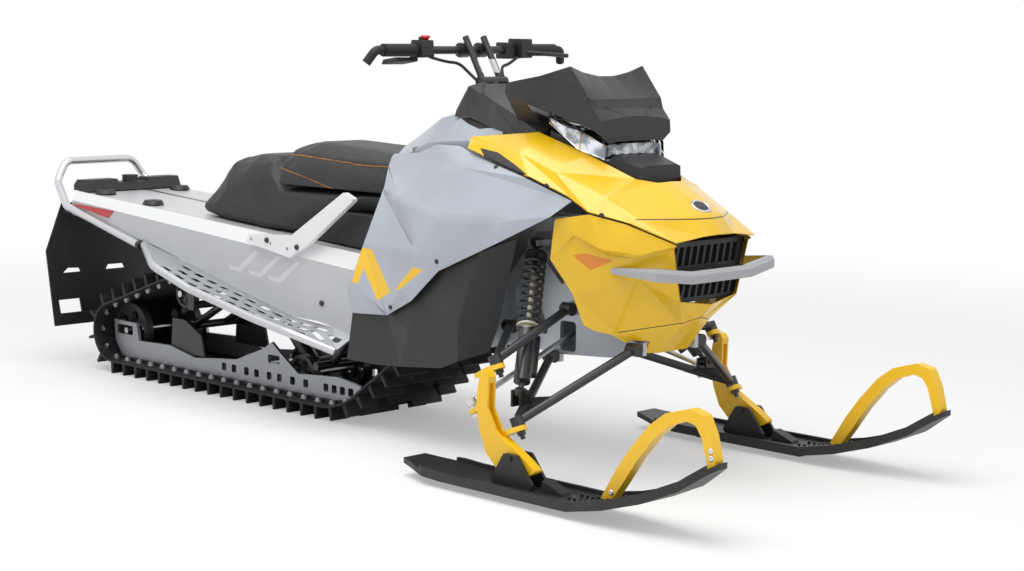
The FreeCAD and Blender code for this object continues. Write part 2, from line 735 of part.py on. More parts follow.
flap_thickness = 6.0
flap_setback = 93.0
flap_half = 267.0
flap_top = 534.0
flap_bottom = 130.0
flap_shares = [(0.77, 1.0), (1.0, 0.62), (0.89, 0.0)]
flap_slot_shares = [(0.51, 0.43), (0.76, 0.43), (0.69, 0.467), (0.535, 0.46)]
flap_mid_slot_shares = [(-0.14, 0.43), (0.14, 0.43), (0.11, 0.467), (-0.11, 0.467)]
flap_window_shares = [(0.50, 0.10), (0.80, 0.10), (0.83, 0.21), (0.53, 0.21)]


hanger_half = 205.0
hanger_low = 502.0
hanger_high = 514.0


def make_snow_flap():
    """The flap, and the bar that hangs it on the tunnel's rear edge."""
    x = tail_x + flap_setback
    height = flap_top - flap_bottom

    def place(shares):
        return [(flap_half * across, flap_bottom + height * up) for across, up in shares]

    left = place(flap_shares)
    right = [(-y, z) for y, z in reversed(left)]
    flap = cross_plate(left + right, x, x + flap_thickness)
    holes = [cross_plate(place(flap_mid_slot_shares), x - overrun, x + overrun)]
    for shares in (flap_slot_shares, flap_window_shares):
        holes += both(cross_plate(place(shares), x - overrun, x + overrun))
    hanger = block(x + flap_thickness, tunnel_rear_x - seat_gap, -hanger_half, hanger_half,
                   hanger_low, hanger_high)
    return [flap.cut(Part.makeCompound(holes)), hanger]


tail_half = 182.0
tail_depth = 68.0
tail_height = 36.0
tail_step_half = 60.0
tail_step_drop = 12.0
cap_radius = 26.0
cap_height = 46.0
lamp_depth = 5.0
lamp_inset = 8.0
lamp_half_share = 0.62


def tail_base():
    """Rear face and foot height of the tail housing, which rests on the tunnel."""
    return tunnel_rear_x - flap_thickness, tunnel_rear_height + seat_gap


def make_tail_housing():
    x, base = tail_base()
    top = base + tail_height
    chamfer = tail_height / 2
    side = [(x - overrun, base), (x - overrun, top - chamfer), (x, top), (x + tail_depth - chamfer, top),
            (x + tail_depth, base)]
    body = side_plate(side, -tail_half, tail_half)
    step = block(x - 2 * overrun, x + 2 * tail_depth, -tail_step_half, tail_step_half,
                 top - tail_step_drop, top + overrun)
    cap = disc(V(x + tail_depth / 2, 0, base + cap_height / 2), UP, cap_radius, cap_height)
    return joined(body.cut(step), cap)


def make_tail_light():
    x, base = tail_base()
    half = tail_half * lamp_half_share
    rear = x - overrun
    lip = tail_height / 2 - lamp_inset / 2
    return block(rear - lamp_depth, rear - seat_gap, -half, half, base + lamp_inset / 2, base + lip)


reflector_length = 228.0
reflector_height = 33.0
reflector_inset = 5.0
reflector_thickness = 3.0
reflector_shares = [(0, 1), (0.13, 0.72), (0.87, 0), (1, 0.76)]


def make_side_reflector():
    rear = tunnel_rear_x + reflector_inset
    low = tunnel_rear_height - tunnel_fold_rear - reflector_height - 2 * reflector_inset
    outline = scaled(reflector_shares, rear, rear + reflector_length, low, low + reflector_height)
    y = tunnel_width / 2 + seat_gap
    return side_plate(outline, y, y + reflector_thickness)


anchor_radius = 34.0
anchor_bore = 11.0
anchor_height = 12.0
anchor_y = 146.0
anchor_inset_shares = [0.0606, 0.214]


def make_tunnel_fittings():
    """Round cargo anchors with a blind bore, and the plugs in the grab bar's ends."""
    solids = []
    for share in anchor_inset_shares:
        x = tunnel_rear_x + tunnel_length * share
        foot = tunnel_top(x - anchor_radius) + seat_gap
        body = Part.makeCone(anchor_radius, anchor_radius * 0.8, anchor_height, V(x, anchor_y, foot))
        bore = disc(V(x, anchor_y, foot + anchor_height), UP, anchor_bore, anchor_height * 1.6)
        solids += both(body.cut(bore))
    foot, following = bumper_line()[:2]
    back = unit(foot - following)
    solids += both(rod(foot + back * seat_gap, foot + back * plug_length, bumper_radius))
    return solids


# Rails with their wear strips
rail_y = 135.0
rail_thickness = 10.0
rail_height = 115.0
rail_rear_inset = 292.0
rail_front_share = 0.5
rail_shares = [(0, 1), (0.102, 0.983), (0.112, 0.504), (0.249, 0.557), (0.357, 0.348),
               (0.528, 0.53), (0.636, 0.957), (0.669, 1.17), (0.698, 0.957), (0.77, 0.487),
               (0.917, 0.6), (1, 0.478), (1, 0.1), (0.93, -0.05), (0.04, -0.05), (0.007, 0.409)]
rail_window_shares = [(0.015, 0.62), (0.015, 0.88), (0.085, 0.88), (0.085, 0.62)]
rail_peak_window_shares = [(0.655, 0.62), (0.655, 0.84), (0.70, 0.84), (0.70, 0.62)]
rail_hole_shares = [0.47, 0.51, 0.56, 0.60, 0.65, 0.69, 0.74, 0.79, 0.865, 0.895, 0.925, 0.955]
rail_hole_width = 22.0
rail_hole_height = 24.0
rail_hole_up_share = 0.17
rail_corner = 5.0
wear_strip = 9.0
strip_width = 22.0


def rail_span():
    return tail_x + rail_rear_inset, bow_x + rail_bow_radius * rail_front_share


def make_rail():
    rear, front = rail_span()
    low = belt_floor + wear_strip + seat_gap
    high = low + rail_height
    inner, outer = rail_y - rail_thickness / 2, rail_y + rail_thickness / 2
    plate = side_plate(scaled(rail_shares, rear, front, low, high), inner, outer)
    cutters = []
    for shares in (rail_window_shares, rail_peak_window_shares):
        outline = scaled(shares, rear, front, low, high)
        cutters.append(side_plate(outline, inner - overrun, outer + overrun, rail_corner))
    z = low + rail_height * rail_hole_up_share
    for along in rail_hole_shares:
        x = rear + (front - rear) * along
        outline = scaled([(0, 0), (1, 0), (1, 1), (0, 1)], x, x + rail_hole_width, z, z + rail_hole_height)
        cutters.append(side_plate(outline, inner - overrun, outer + overrun, rail_corner))
    room = loop_prism(-wear_strip - 2 * seat_gap, track_width)
    return plate.common(room).cut(Part.makeCompound(cutters))


def make_wear_strip():
    rear, front = rail_span()
    low, high = rail_y - strip_width / 2, rail_y + strip_width / 2
    outer = loop_prism(-seat_gap, track_width).cut(loop_prism(-wear_strip, track_width + overrun))
    keep = block(rear + rear_wheel_radius, front, low, high, 0, rail_height + belt_floor)
    return outer.common(keep)


# Wheels inside the track
axle_radius = 10.0
wheel_width = 24.0
wheel_y = 98.0
wheel_dish = 5.0
rim_share = 0.80
hub_share = 0.30
spoke_hole_share = 0.19
spoke_hole_at_share = 0.55
spoke_holes = 5
idler_radius = 45.0
idler_inset = 414.0
front_idler_radius = 58.0
front_idler_inset = 171.0


def wheel_places():
    """Centre x, centre z and radius of every wheel that runs on the belt."""
    return [(rear_axle_x, rear_axle_height, rear_wheel_radius),
            (carrier_x, carrier_height, carrier_radius),
            (bow_x - idler_inset, belt_floor + idler_radius, idler_radius),
            (bow_x - front_idler_inset, belt_floor + front_idler_radius, front_idler_radius)]


def wheel(x, z, radius):
    centre = V(x, wheel_y, z)
    bore = axle_radius + pin_gap
    solid = ring(centre, LEFT, radius - seat_gap, bore, wheel_width)
    for side in (-1, 1):
        middle = centre + V(0, side * (wheel_width - wheel_dish) / 2, 0)
        hub = max(radius * hub_share, bore * 1.5)
        solid = solid.cut(ring(middle, LEFT, radius * rim_share, hub, wheel_dish + pin_gap))
    holes = []
    for index in range(spoke_holes):
        angle = math.tau * index / spoke_holes
        spot = V(math.cos(angle), 0, math.sin(angle)) * (radius * spoke_hole_at_share)
        holes.append(disc(centre + spot, LEFT, radius * spoke_hole_share, 2 * wheel_width))
    return solid.cut(Part.makeCompound(holes))


def make_wheels():
    solids = []
    for place in wheel_places():
        solids += both(wheel(*place))
    return solids


def make_wheel_axles():
    reach = rail_y - rail_thickness / 2 - seat_gap
    return [disc(V(x, 0, z), LEFT, axle_radius, 2 * reach) for x, z, radius in wheel_places()]


sprocket_width = 30.0
sprocket_y = 70.0
sprocket_notches = 8
notch_radius = 15.0
drive_shaft_radius = 14.0


def make_drive_axle():
    centre = V(drive_x, 0, drive_axle_height)
    shaft = disc(centre, LEFT, drive_shaft_radius, tunnel_width - 2 * sheet - 2 * seat_gap)
    sprockets = []
    for y in (-sprocket_y, sprocket_y):
        sprocket = disc(centre + V(0, y, 0), LEFT, sprocket_radius - seat_gap, sprocket_width)
        notches = []
        for index in range(sprocket_notches):
            angle = math.tau * index / sprocket_notches
            spot = V(math.cos(angle), 0, math.sin(angle)) * sprocket_radius
            notches.append(disc(centre + spot + V(0, y, 0), LEFT, notch_radius, 2 * sprocket_width))
        sprockets.append(sprocket.cut(Part.makeCompound(notches)))
    return joined(shaft, *sprockets)


# Rear suspension: two arms between tunnel and rails, their drop brackets, and the long shock
swing_radius = 12.0
swing_y = 62.0
suspension_length = tunnel_length * 0.5351
suspension_height = 300.0
front_arm_shares = [(0.10, 1.0), (0.25, 0.46)]
rear_arm_shares = [(0.806, 0.90), (0.995, 0.585)]
shock_shares = [(0.585, 0.83), (0.436, 0.385)]
link_radius = 8.0
rail_bracket_shares = [(1.02, 0.68), (0.95, 0.68), (0.86, 0.55), (0.84, 0.33), (1.03, 0.33)]
drop_bracket_half = 26.0
drop_bracket_foot_share = 0.55
track_shock_radius = 24.0
track_shock_shaft = 8.0
track_shock_body_share = 0.58


def suspension_point(share):
    """A point of the middle plane, as shares back from the cowl's rear and up from the ground."""
    return V(cowl_rear_x - suspension_length * share[0], 0, suspension_height * share[1])


def swing_arm(shares):
    top, low = suspension_point(shares[0]), suspension_point(shares[1])
    legs = [rod(top + V(0, y, 0), low + V(0, y, 0), swing_radius) for y in (-swing_y, swing_y)]
    between_rails = 2 * (rail_y - rail_thickness / 2 - seat_gap)
    between_sides = tunnel_width - 2 * sheet - 2 * seat_gap
    shafts = [disc(low, LEFT, swing_radius, between_rails), disc(top, LEFT, swing_radius, between_sides)]
    edge = low_edge_height(top.x) + overrun
    half = drop_bracket_half
    foot = half * drop_bracket_foot_share
    outline = [(top.x - half, edge), (top.x + half, edge), (top.x + foot, top.z - foot),
               (top.x - foot, top.z - foot)]
    outer = between_sides / 2
    return joined(legs[0], legs[1], *shafts, *both(side_plate(outline, outer - sheet, outer)))


def make_suspension_arms():
    """Both arms, and the plates that carry the rear one above the rails."""
    outer = rail_y - rail_thickness / 2 - seat_gap
    places = [suspension_point(share) for share in rail_bracket_shares]
    bracket = side_plate([(p.x, p.z) for p in places], outer - 2 * sheet, outer)
    rear = joined(swing_arm(rear_arm_shares), *both(bracket))
    return [swing_arm(front_arm_shares), rear]


def make_track_shock():
    top, low = [suspension_point(share) for share in shock_shares]
    middle = low + (top - low) * track_shock_body_share
    between_rails = 2 * (rail_y - rail_thickness / 2 - seat_gap)
    ends = [disc(low, LEFT, swing_radius, between_rails), disc(top, LEFT, swing_radius, 2 * swing_y)]
    pivot = suspension_point(rear_arm_shares[0])
    stop = pivot + unit(top - pivot) * (swing_radius + seat_gap)
    links = [rod(stop + V(0, y, 0), top + V(0, y, 0), link_radius) for y in (-swing_y, swing_y)]
    body = rod(low, middle, track_shock_radius)
    return joined(body, rod(middle, top, track_shock_shaft), *ends, *links)


# Front suspension, left side: hard points as shares of a reach, the stance and a height
front_reach = 300.0
front_height = 600.0
hard_point_shares = {
    "lower ball": (0, 0.9267, 0.2933), "upper ball": (-0.2567, 0.9267, 0.53),
    "upper front": (-0.2067, 0.3889, 0.7067), "upper rear": (-0.9667, 0.3333, 0.5867),
    "lower front": (0.3833, 0.2778, 0.56), "lower rear": (-0.5533, 0.2778, 0.4767),
    "shock top": (-0.68, 0.3156, 0.9633), "shock foot": (-0.1533, 0.8, 0.39),
    "ski bolt": (0.12, 1, 0.1667), "steer eye": (-0.4267, 0.9689, 0.31),
    "tie inner": (-0.44, 0.1556, 0.5783)}


def hard_point(name):
    ahead, out, up = hard_point_shares[name]
    return V(ball_x + front_reach * ahead, ski_centre_y * out, front_height * up)


lower_ball = hard_point("lower ball")
upper_ball = hard_point("upper ball")
kingpin = unit(upper_ball - lower_ball)
steer_eye = hard_point("steer eye")
ski_bolt = hard_point("ski bolt")

# A-arms: tubes, pivot bosses, ball housing with its stud and nut, and the shock's clevis
arm_tube_radius = 11.0
boss_radius = 16.5
boss_length = 33.0
arm_room = 6.0
ball_radius = 17.0
ball_height = 24.0
stud_radius = 6.0
stud_length = 44.0
nut_radius = 11.0
nut_height = 9.0
lug_plate = 12.0
lug_gap = 0.6
gusset_shares = (0.10, 0.36)
gusset_plate = 6.0
eye_radius = 14.0
eye_width = 22.0
clevis_plate = 6.0
clevis_half = 17.0
clevis_rise = 7.5


def hexagon(centre, axis, radius, height):
    """A nut: six-sided prism about an axis that lies in the plane y = 0."""
    across = unit(LEFT.cross(axis))
    corners = []
    for index in range(6):
        angle = math.tau * index / 6
        spoke = LEFT * math.cos(angle) + across * math.sin(angle)
        corners.append(centre + spoke * radius - axis * (height / 2))
    return prism(corners, axis * height)


def make_arm(ball, front, rear):
    tubes = [rod(ball, front, arm_tube_radius), rod(ball, rear, arm_tube_radius)]
    bosses = [disc(pivot, AHEAD, boss_radius, boss_length) for pivot in (front, rear)]
    housing = disc(ball, kingpin, ball_radius, ball_height)
    stud = rod(ball, ball - kingpin * stud_length, stud_radius)
    depth = ball_height / 2 + lug_plate + 2 * lug_gap + nut_height / 2
    nut = hexagon(ball - kingpin * depth, kingpin, nut_radius, nut_height)
    return joined(housing, stud, nut, *tubes, *bosses)


def clevis(eye, low_y, low_z):
    """Two plates beside an eye whose axis points ahead, with the bolt through it."""
    outline = [(low_y, eye.z + clevis_rise), (eye.y + clevis_half, eye.z + clevis_rise),
               (eye.y + clevis_half, low_z), (low_y, low_z)]
    near = eye_width / 2 + seat_gap
    plates = [cross_plate(outline, eye.x + near, eye.x + near + clevis_plate),
              cross_plate(outline, eye.x - near - clevis_plate, eye.x - near)]
    bolt = disc(eye, AHEAD, stud_radius, eye_width + 4 * clevis_plate)
    return plates + [bolt]


def make_lower_arm():
    front, rear = hard_point("lower front"), hard_point("lower rear")
    eye = hard_point("shock foot")
    near, far = gusset_shares
    back = unit(rear - front) * (2 * clevis_plate + eye_width / 2)
    corners = [lower_ball + (front - lower_ball) * near, lower_ball + (front - lower_ball) * far,
               lower_ball + (rear - lower_ball) * far + back,
               lower_ball + (rear - lower_ball) * near + back]
    normal = unit((front - lower_ball).cross(rear - lower_ball))
    if normal.z < 0:
        normal = normal * -1
    gusset = prism([corner - normal * gusset_plate for corner in corners], normal * gusset_plate)
    mount = clevis(eye, eye.y - clevis_half, eye.z - 2 * clevis_half)
    cutter = disc(eye, AHEAD, eye_radius + arm_room, eye_width + 2 * seat_gap)
    arm = joined(make_arm(lower_ball, front, rear), gusset).cut(cutter)
    return joined(arm, *mount)


def make_upper_arm():
    return make_arm(upper_ball, hard_point("upper front"), hard_point("upper rear"))


# Front shock: body, shaft, spring seats, eyes and a reservoir beside the body
shock_foot = hard_point("shock foot")
shock_top = hard_point("shock top")
shock_axis = unit(shock_top - shock_foot)
shock_body_radius = 21.0
shock_shaft_radius = 7.0
shock_body_shares = (0.07, 0.42)
shock_seat_shares = (0.42, 0.915)
spring_radius = 30.0
spring_wire = 4.0
spring_turns = 9
spring_seat = 6.0
reservoir_radius = 13.0
reservoir_shares = (0.15, 0.40)
reservoir_offset = 36.0


def shock_at(share):
    return shock_foot + (shock_top - shock_foot) * share


def make_shock():
    low, high = shock_seat_shares
    body = rod(shock_at(shock_body_shares[0]), shock_at(shock_body_shares[1]), shock_body_radius)
    shaft = rod(shock_foot, shock_top, shock_shaft_radius)
    seats = [rod(shock_at(low), shock_at(low) + shock_axis * spring_seat, spring_radius),
             rod(shock_at(high) - shock_axis * spring_seat, shock_at(high), spring_radius)]
    aside = unit(shock_axis.cross(AHEAD)) * -reservoir_offset
    start, end = [shock_at(share) + aside for share in reservoir_shares]
    reservoir = rod(start, end, reservoir_radius)
    neck = rod(shock_at(sum(reservoir_shares) / 2), (start + end) * 0.5, shock_shaft_radius)
    eyes = [disc(eye, AHEAD, eye_radius, eye_width) for eye in (shock_foot, shock_top)]
    bores = [disc(eye, AHEAD, stud_radius + pin_gap, 2 * eye_width) for eye in (shock_foot, shock_top)]
    return joined(body, shaft, reservoir, neck, *seats, *eyes).cut(Part.makeCompound(bores))


def make_spring():
    low, high = shock_seat_shares
    start = shock_at(low) + shock_axis * (spring_seat + seat_gap + spring_wire)
    end = shock_at(high) - shock_axis * (spring_seat + seat_gap + spring_wire)
    length = (end - start).Length
    helix = Part.makeHelix(length / spring_turns, length, spring_radius - spring_wire)
    section = Part.Wire(Part.makeCircle(spring_wire, V(spring_radius - spring_wire, 0, 0), LEFT))
    coil = Part.Wire(helix).makePipeShell([section], True, True)
    coil.Placement = FreeCAD.Placement(start, FreeCAD.Rotation(UP, shock_axis))
    return coil


# Spindle: forged upright with a channel in its front edge, drawn as shares of its side view
spindle_back = 94.0
spindle_front = 124.0
spindle_foot_height = 62.0
spindle_head_height = 301.0
spindle_half = 13.5
spindle_offset = 3.5
spindle_corner = 6.0
spindle_shares = [(0.193, 0.933), (0.156, 0.983), (0.0688, 1), (0.0275, 0.812), (0, 0.619),
                  (0.0642, 0.368), (0.165, 0.155), (0.33, 0.0167), (0.606, 0.0167), (0.817, 0),
                  (0.936, 0.0586), (0.789, 0.151), (0.624, 0.234), (0.413, 0.335), (0.321, 0.402),
                  (0.183, 0.611)]
channel_shares = [(0.248, 0.87), (0.128, 0.87), (0.101, 0.598), (0.193, 0.402), (0.294, 0.31),
                  (0.431, 0.36), (0.385, 0.452), (0.248, 0.619)]
channel_half = 7.0
steer_arm_half = 9.0
steer_arm_reach = 45.0
steer_eye_radius = 14.0


lug_reach_share = 3.0


def make_spindle_lug(ball):
    """Plate under a ball housing, bored for its stud, reaching out to the upright."""
    centre = ball - kingpin * (ball_height / 2 + lug_gap + lug_plate / 2)
    across = unit(LEFT.cross(kingpin)) * ball_radius
    reach = V(0, ski_centre_y + spindle_offset - ball.y, 0)
    low = centre - kingpin * (lug_plate / 2)
    corners = [low - across, low + across, low + reach, low - across * lug_reach_share + reach]
    web = prism(corners, kingpin * lug_plate)
    hole = disc(centre, kingpin, stud_radius + pin_gap, lug_plate + overrun)
    return joined(disc(centre, kingpin, ball_radius, lug_plate), web).cut(hole)


def make_spindle():
    box = (ball_x - spindle_back, ball_x + spindle_front, spindle_foot_height, spindle_head_height)
    middle = ski_centre_y + spindle_offset
    body = side_plate(scaled(spindle_shares, *box), middle - spindle_half, middle + spindle_half,
                      spindle_corner)
    channel = side_plate(scaled(channel_shares, *box), middle - channel_half, middle + channel_half)
    eye = disc(steer_eye, kingpin, steer_eye_radius, lug_plate)
    foot = steer_eye - kingpin * (lug_plate / 2)
    root = foot + unit(LEFT.cross(kingpin)) * steer_arm_reach + V(0, middle - steer_eye.y, 0)
    aside = V(0, steer_arm_half, 0)
    arm = prism([foot - aside, foot + aside, root + aside, root - aside], kingpin * lug_plate)
    lugs = [make_spindle_lug(upper_ball), make_spindle_lug(lower_ball)]
    solid = joined(body, eye, arm, *lugs).cut(channel)
    bolt_hole = disc(ski_bolt, LEFT, stud_radius + pin_gap, 4 * spindle_half)
    stud_hole = disc(steer_eye, kingpin, stud_radius + pin_gap, lug_plate + overrun)
    return solid.cut(bolt_hole).cut(stud_hole)


tie_radius = 7.0
tie_lift = 24.0
tie_ball_radius = 12.0
tie_ball_height = 18.0


def make_tie_rod():
    """Silver rod above the steering eye, with a ball stud and nut down through it."""
    outer = steer_eye + kingpin * tie_lift
    depth = lug_plate / 2 + lug_gap + nut_height
    stud = rod(outer, steer_eye - kingpin * (depth + lug_plate / 4), stud_radius)
    nut = hexagon(steer_eye - kingpin * (depth - nut_height / 2), kingpin, nut_radius, nut_height)
    ball = disc(outer, kingpin, tie_ball_radius, tie_ball_height)
    return joined(rod(outer, hard_point("tie inner"), tie_radius), ball, stud, nut)


# Ski: upturned sole with raised edges, keel runner, cheeks round the spindle, and tip loop
ski_length = 990.0
ski_width = 152.0
ski_sole = 14.0
keel_height = 18.0
keel_width = 26.0
ski_rise = 188.0
ski_top_shares = [(0, 0.245), (0.091, 0.191), (0.172, 0.17), (0.596, 0.17), (0.707, 0.287),
                  (0.808, 0.447), (0.909, 0.681), (0.974, 0.915), (1, 1)]
ski_plan_shares = [(-0.004, 0.474), (0.04, 0.658), (0.111, 1), (0.667, 1), (0.808, 0.816),
                   (0.929, 0.553), (0.978, 0.355), (1, 0.184)]
keel_shares = [(0.15, 1), (0.20, 0), (0.555, 0), (0.637, 1)]
rib_width = 8.0
rib_height = 10.0
groove_share = 0.5
cheek_shares = [(-1, 0), (-0.31, 1), (0.31, 1), (1.2, 0)]
cheek_half_length = 72.0
cheek_width = 8.0
cheek_corner = 12.0
cheek_rise = 12.0
cheek_gap = 4.0
stop_inset = 600.0
stop_length = 68.0
stop_half = 17.0
stop_rise = 28.0
stop_shares = [(0, 0), (0.06, 1), (0.30, 0.86), (0.97, 0.25), (1, 0)]
nub_radius = 4.0
nub_height = 7.0
nub_pitch = 17.0
nub_rows = 9
nub_start_share = 0.56
nub_half_spacing = 22.0


def ski_top():
    tail = ski_tip_x - ski_length
    return scaled(ski_top_shares, tail, ski_tip_x, 0, ski_rise)


def ski_plan():
    tail = ski_tip_x - ski_length
    left = scaled(ski_plan_shares, tail, ski_tip_x, 0, ski_width / 2)
    outline = [(x, ski_centre_y + y) for x, y in left]
    return outline + [(x, ski_centre_y - y) for x, y in reversed(left)]


def ski_top_height(x):
    for start, end in zip(ski_top(), ski_top()[1:]):
        if start[0] <= x <= end[0]:
            return start[1] + (end[1] - start[1]) * (x - start[0]) / (end[0] - start[0])
    return ski_rise


def make_ski_nubs():
    nubs = []
    tail = ski_tip_x - ski_length
    for row in range(nub_rows):
        x = tail + ski_length * nub_start_share + nub_pitch * row
        for side in (-1, 1):
            middle = V(x, ski_centre_y + side * nub_half_spacing, ski_top_height(x))
            nubs.append(disc(middle, UP, nub_radius, 2 * nub_height))
    return nubs


def make_ski_cheeks():
    """Two walls round the spindle's foot, the bolt across them and the rubber stop ahead."""
    rest = keel_height + ski_sole
    outline = [(ski_bolt.x + cheek_half_length * along, rest - weld_sink
                + (ski_bolt.z + cheek_rise - rest) * up) for along, up in cheek_shares]
    inner = spindle_half + spindle_offset + cheek_gap
    cheeks = [side_plate(outline, ski_centre_y + inner, ski_centre_y + inner + cheek_width, cheek_corner),
              side_plate(outline, ski_centre_y - inner - cheek_width, ski_centre_y - inner, cheek_corner)]
    bolt = disc(ski_bolt, LEFT, stud_radius, 2 * inner + 2 * cheek_width + nut_height)
    rear = ski_tip_x - stop_inset + stop_length
    box = (rear, rear + stop_length, rest - weld_sink, rest + stop_rise)
    stop = side_plate(scaled(stop_shares, *box), ski_centre_y - stop_half, ski_centre_y + stop_half)
    return cheeks + [bolt, stop]


def make_ski():
    top = ski_top()
    half = ski_width / 2
    low, high = ski_centre_y - half, ski_centre_y + half
    under = [(x, z - ski_sole) for x, z in reversed(top)]
    outline = plan_plate(ski_plan(), -overrun, 2 * ski_rise)
    blade = side_plate(top + under, low, high).common(outline)
    raised = [(x, z + rib_height) for x, z in top[1:-1]]
    sunk = [(x, z - weld_sink) for x, z in reversed(top[1:-1])]
    ribs = side_plate(raised + sunk, low, high).common(outline)
    inner = plan_plate([(x, ski_centre_y + (y - ski_centre_y) * (1 - rib_width / half))
                        for x, y in ski_plan()], -overrun, 2 * ski_rise)
    ribs = ribs.cut(inner)
    tail = ski_tip_x - ski_length
    rest = keel_height + ski_sole / 2
    keel = side_plate(scaled(keel_shares, tail, ski_tip_x, 0, rest),
                      ski_centre_y - keel_width / 2, ski_centre_y + keel_width / 2)
    return joined(blade, ribs, keel, *make_ski_nubs(), *make_ski_cheeks())


loop_rear = 318.0
loop_length = 330.0
loop_foot_height = 55.0
loop_top_height = 297.0
loop_width = 30.0
loop_corner = 12.0
loop_outer_shares = [(0.0, -0.12), (0, 0), (0.136, 0.302), (0.255, 0.521), (0.421, 0.777),
                     (0.561, 0.917), (0.77, 1), (0.891, 0.963), (0.958, 0.785), (1, 0.558), (1, 0.45)]
loop_inner_shares = [(0.93, 0.40), (0.933, 0.517), (0.879, 0.756), (0.83, 0.855), (0.748, 0.88),
                     (0.597, 0.806), (0.473, 0.665), (0.324, 0.426), (0.203, 0.186), (0.103, 0),
                     (0.103, -0.12)]


def make_ski_loop():
    rear = ball_x + loop_rear
    outline = scaled(loop_outer_shares + loop_inner_shares, rear, rear + loop_length,
                     loop_foot_height, loop_top_height)
    width = loop_width / 2
    loop = side_plate(outline, ski_centre_y - width, ski_centre_y + width, loop_corner)
    top = [(x, z + seat_gap) for x, z in ski_top()]
    room = side_plate(top + [(ski_tip_x, cowl_height), (top[0][0], cowl_height)],
                      ski_centre_y - loop_width, ski_centre_y + loop_width)
    return loop.common(room)


# Steering: post with its bearing, risers, bar, grips and controls
post_lean = math.radians(30.5)
bar_share = 0.243
bar_centre = V(cowl_rear_x + cowl_length * bar_share, 0, cowl_height + handlebar_rise)
post_axis = V(-math.sin(post_lean), 0, math.cos(post_lean))
post_front = V(math.cos(post_lean), 0, math.sin(post_lean))
bar_half = 325.0
bar_radius = 11.0
riser_length = 112.0
riser_half = 34.0
riser_radius = 9.0
riser_top = 26.0
riser_ahead = 26.0
post_radius = 14.0
post_length = 120.0
post_room = 8.0
bearing_width = 18.0
bearing_depth = 60.0
yoke_half = 50.0
clamp_radius = 20.0
clamp_width = 26.0


def post_line(depth):
    """A point of the post's axis, this far down from the level of the bar."""
    return bar_centre + post_front * riser_ahead - post_axis * depth


def make_steering_post():
    """Post, yoke and two legs that hold the bar on their rear side."""
    yoke = post_line(riser_length)
    legs, clamps = [], []
    for y in (-riser_half, riser_half):
        aside = V(0, y, 0)
        legs.append(rod(yoke + aside, post_line(-riser_top) + aside, riser_radius))
        clamps.append(disc(bar_centre + aside, LEFT, clamp_radius, clamp_width))
    cross = disc(yoke, LEFT, post_radius, 2 * yoke_half)
    post = rod(post_line(riser_length + post_length), yoke, post_radius)
    bore = disc(bar_centre, LEFT, bar_radius + seat_gap, 2 * yoke_half)
    return joined(post, cross, *legs, *clamps).cut(bore)


def post_bore():
    """The room that the turning post and yoke take in the console."""
    low = post_line(riser_length + post_length + post_room)
    yoke_room = disc(post_line(riser_length), post_axis, yoke_half + post_room,
                     2 * (post_radius + post_room))
    return rod(low, post_line(0), post_radius + post_room).fuse(yoke_room)


def make_post_bearing():
    centre = post_line(riser_length + bearing_depth)
    return ring(centre, post_axis, post_radius + post_room, post_radius + pin_gap, bearing_width)


def make_handlebar():
    return disc(bar_centre, LEFT, bar_radius, 2 * bar_half)


grip_length = 112.0
grip_radius = 17.0
hook_radius = 12.0
hook_out = 26.0
hook_reach = 44.0
hook_back = 16.0
hook_drop = 34.0


def make_grips():
    grip = ring(bar_centre + V(0, bar_half - grip_length / 2, 0), LEFT, grip_radius,
                bar_radius + seat_gap, grip_length)
    tip = bar_centre + V(0, bar_half + seat_gap, 0)
    hook = pipe([tip, tip + V(0, hook_out, 0), tip + V(-hook_back, hook_reach, -hook_drop)],
                hook_radius, hook_out)
    return both(grip) + both(hook)


control_size = 60.0
control_corner = 5.0
switch_shares = [(-0.40, -0.35), (-0.30, 0.45), (0.38, 0.45), (0.45, -0.30)]
switch_span = (-0.64, -0.51)
button_radius = 10.0
button_share = (0, -0.57, 0.50)
paddle_shares = [(-1.15, -0.67), (-0.10, -0.50), (-0.10, -0.30), (-1.0, -0.43)]
paddle_span = (-0.83, -0.60)
master_shares = [(-0.35, -0.40), (-0.30, 0.52), (0.55, 0.52), (0.60, -0.35)]
master_span = (0.49, 0.62)
cluster_shares = [(-0.40, -0.40), (-0.40, 0.35), (0.25, 0.35), (0.30, -0.40)]
cluster_span = (0.36, 0.46)
lever_points = [(0.5, 0.56, -0.10), (0.95, 0.66, -0.15), (0.95, 0.985, -0.25)]
lever_radius = 6.0


def control_block(shares, span):
    """A block round the bar: side view in shares of the control's size, span of the bar's half."""
    outline = [(bar_centre.x + control_size * across, bar_centre.z + control_size * up)
               for across, up in shares]
    return side_plate(outline, bar_half * span[0], bar_half * span[1], control_corner)


def control_point(shares):
    ahead, out, up = shares
    return bar_centre + V(control_size * ahead, bar_half * out, control_size * up)


def make_controls():
    bore = disc(bar_centre, LEFT, bar_radius + seat_gap, 2 * bar_half)
    button = disc(control_point(button_share), UP, button_radius, button_radius)
    switch = joined(control_block(switch_shares, switch_span), button,
                    control_block(paddle_shares, paddle_span))
    points = [control_point(share) for share in lever_points]
    lever = pipe(points, lever_radius, 3 * lever_radius)
    master = joined(control_block(master_shares, master_span), lever)
    cluster = control_block(cluster_shares, cluster_span)
    return [solid.cut(bore) for solid in (switch, master, cluster)]


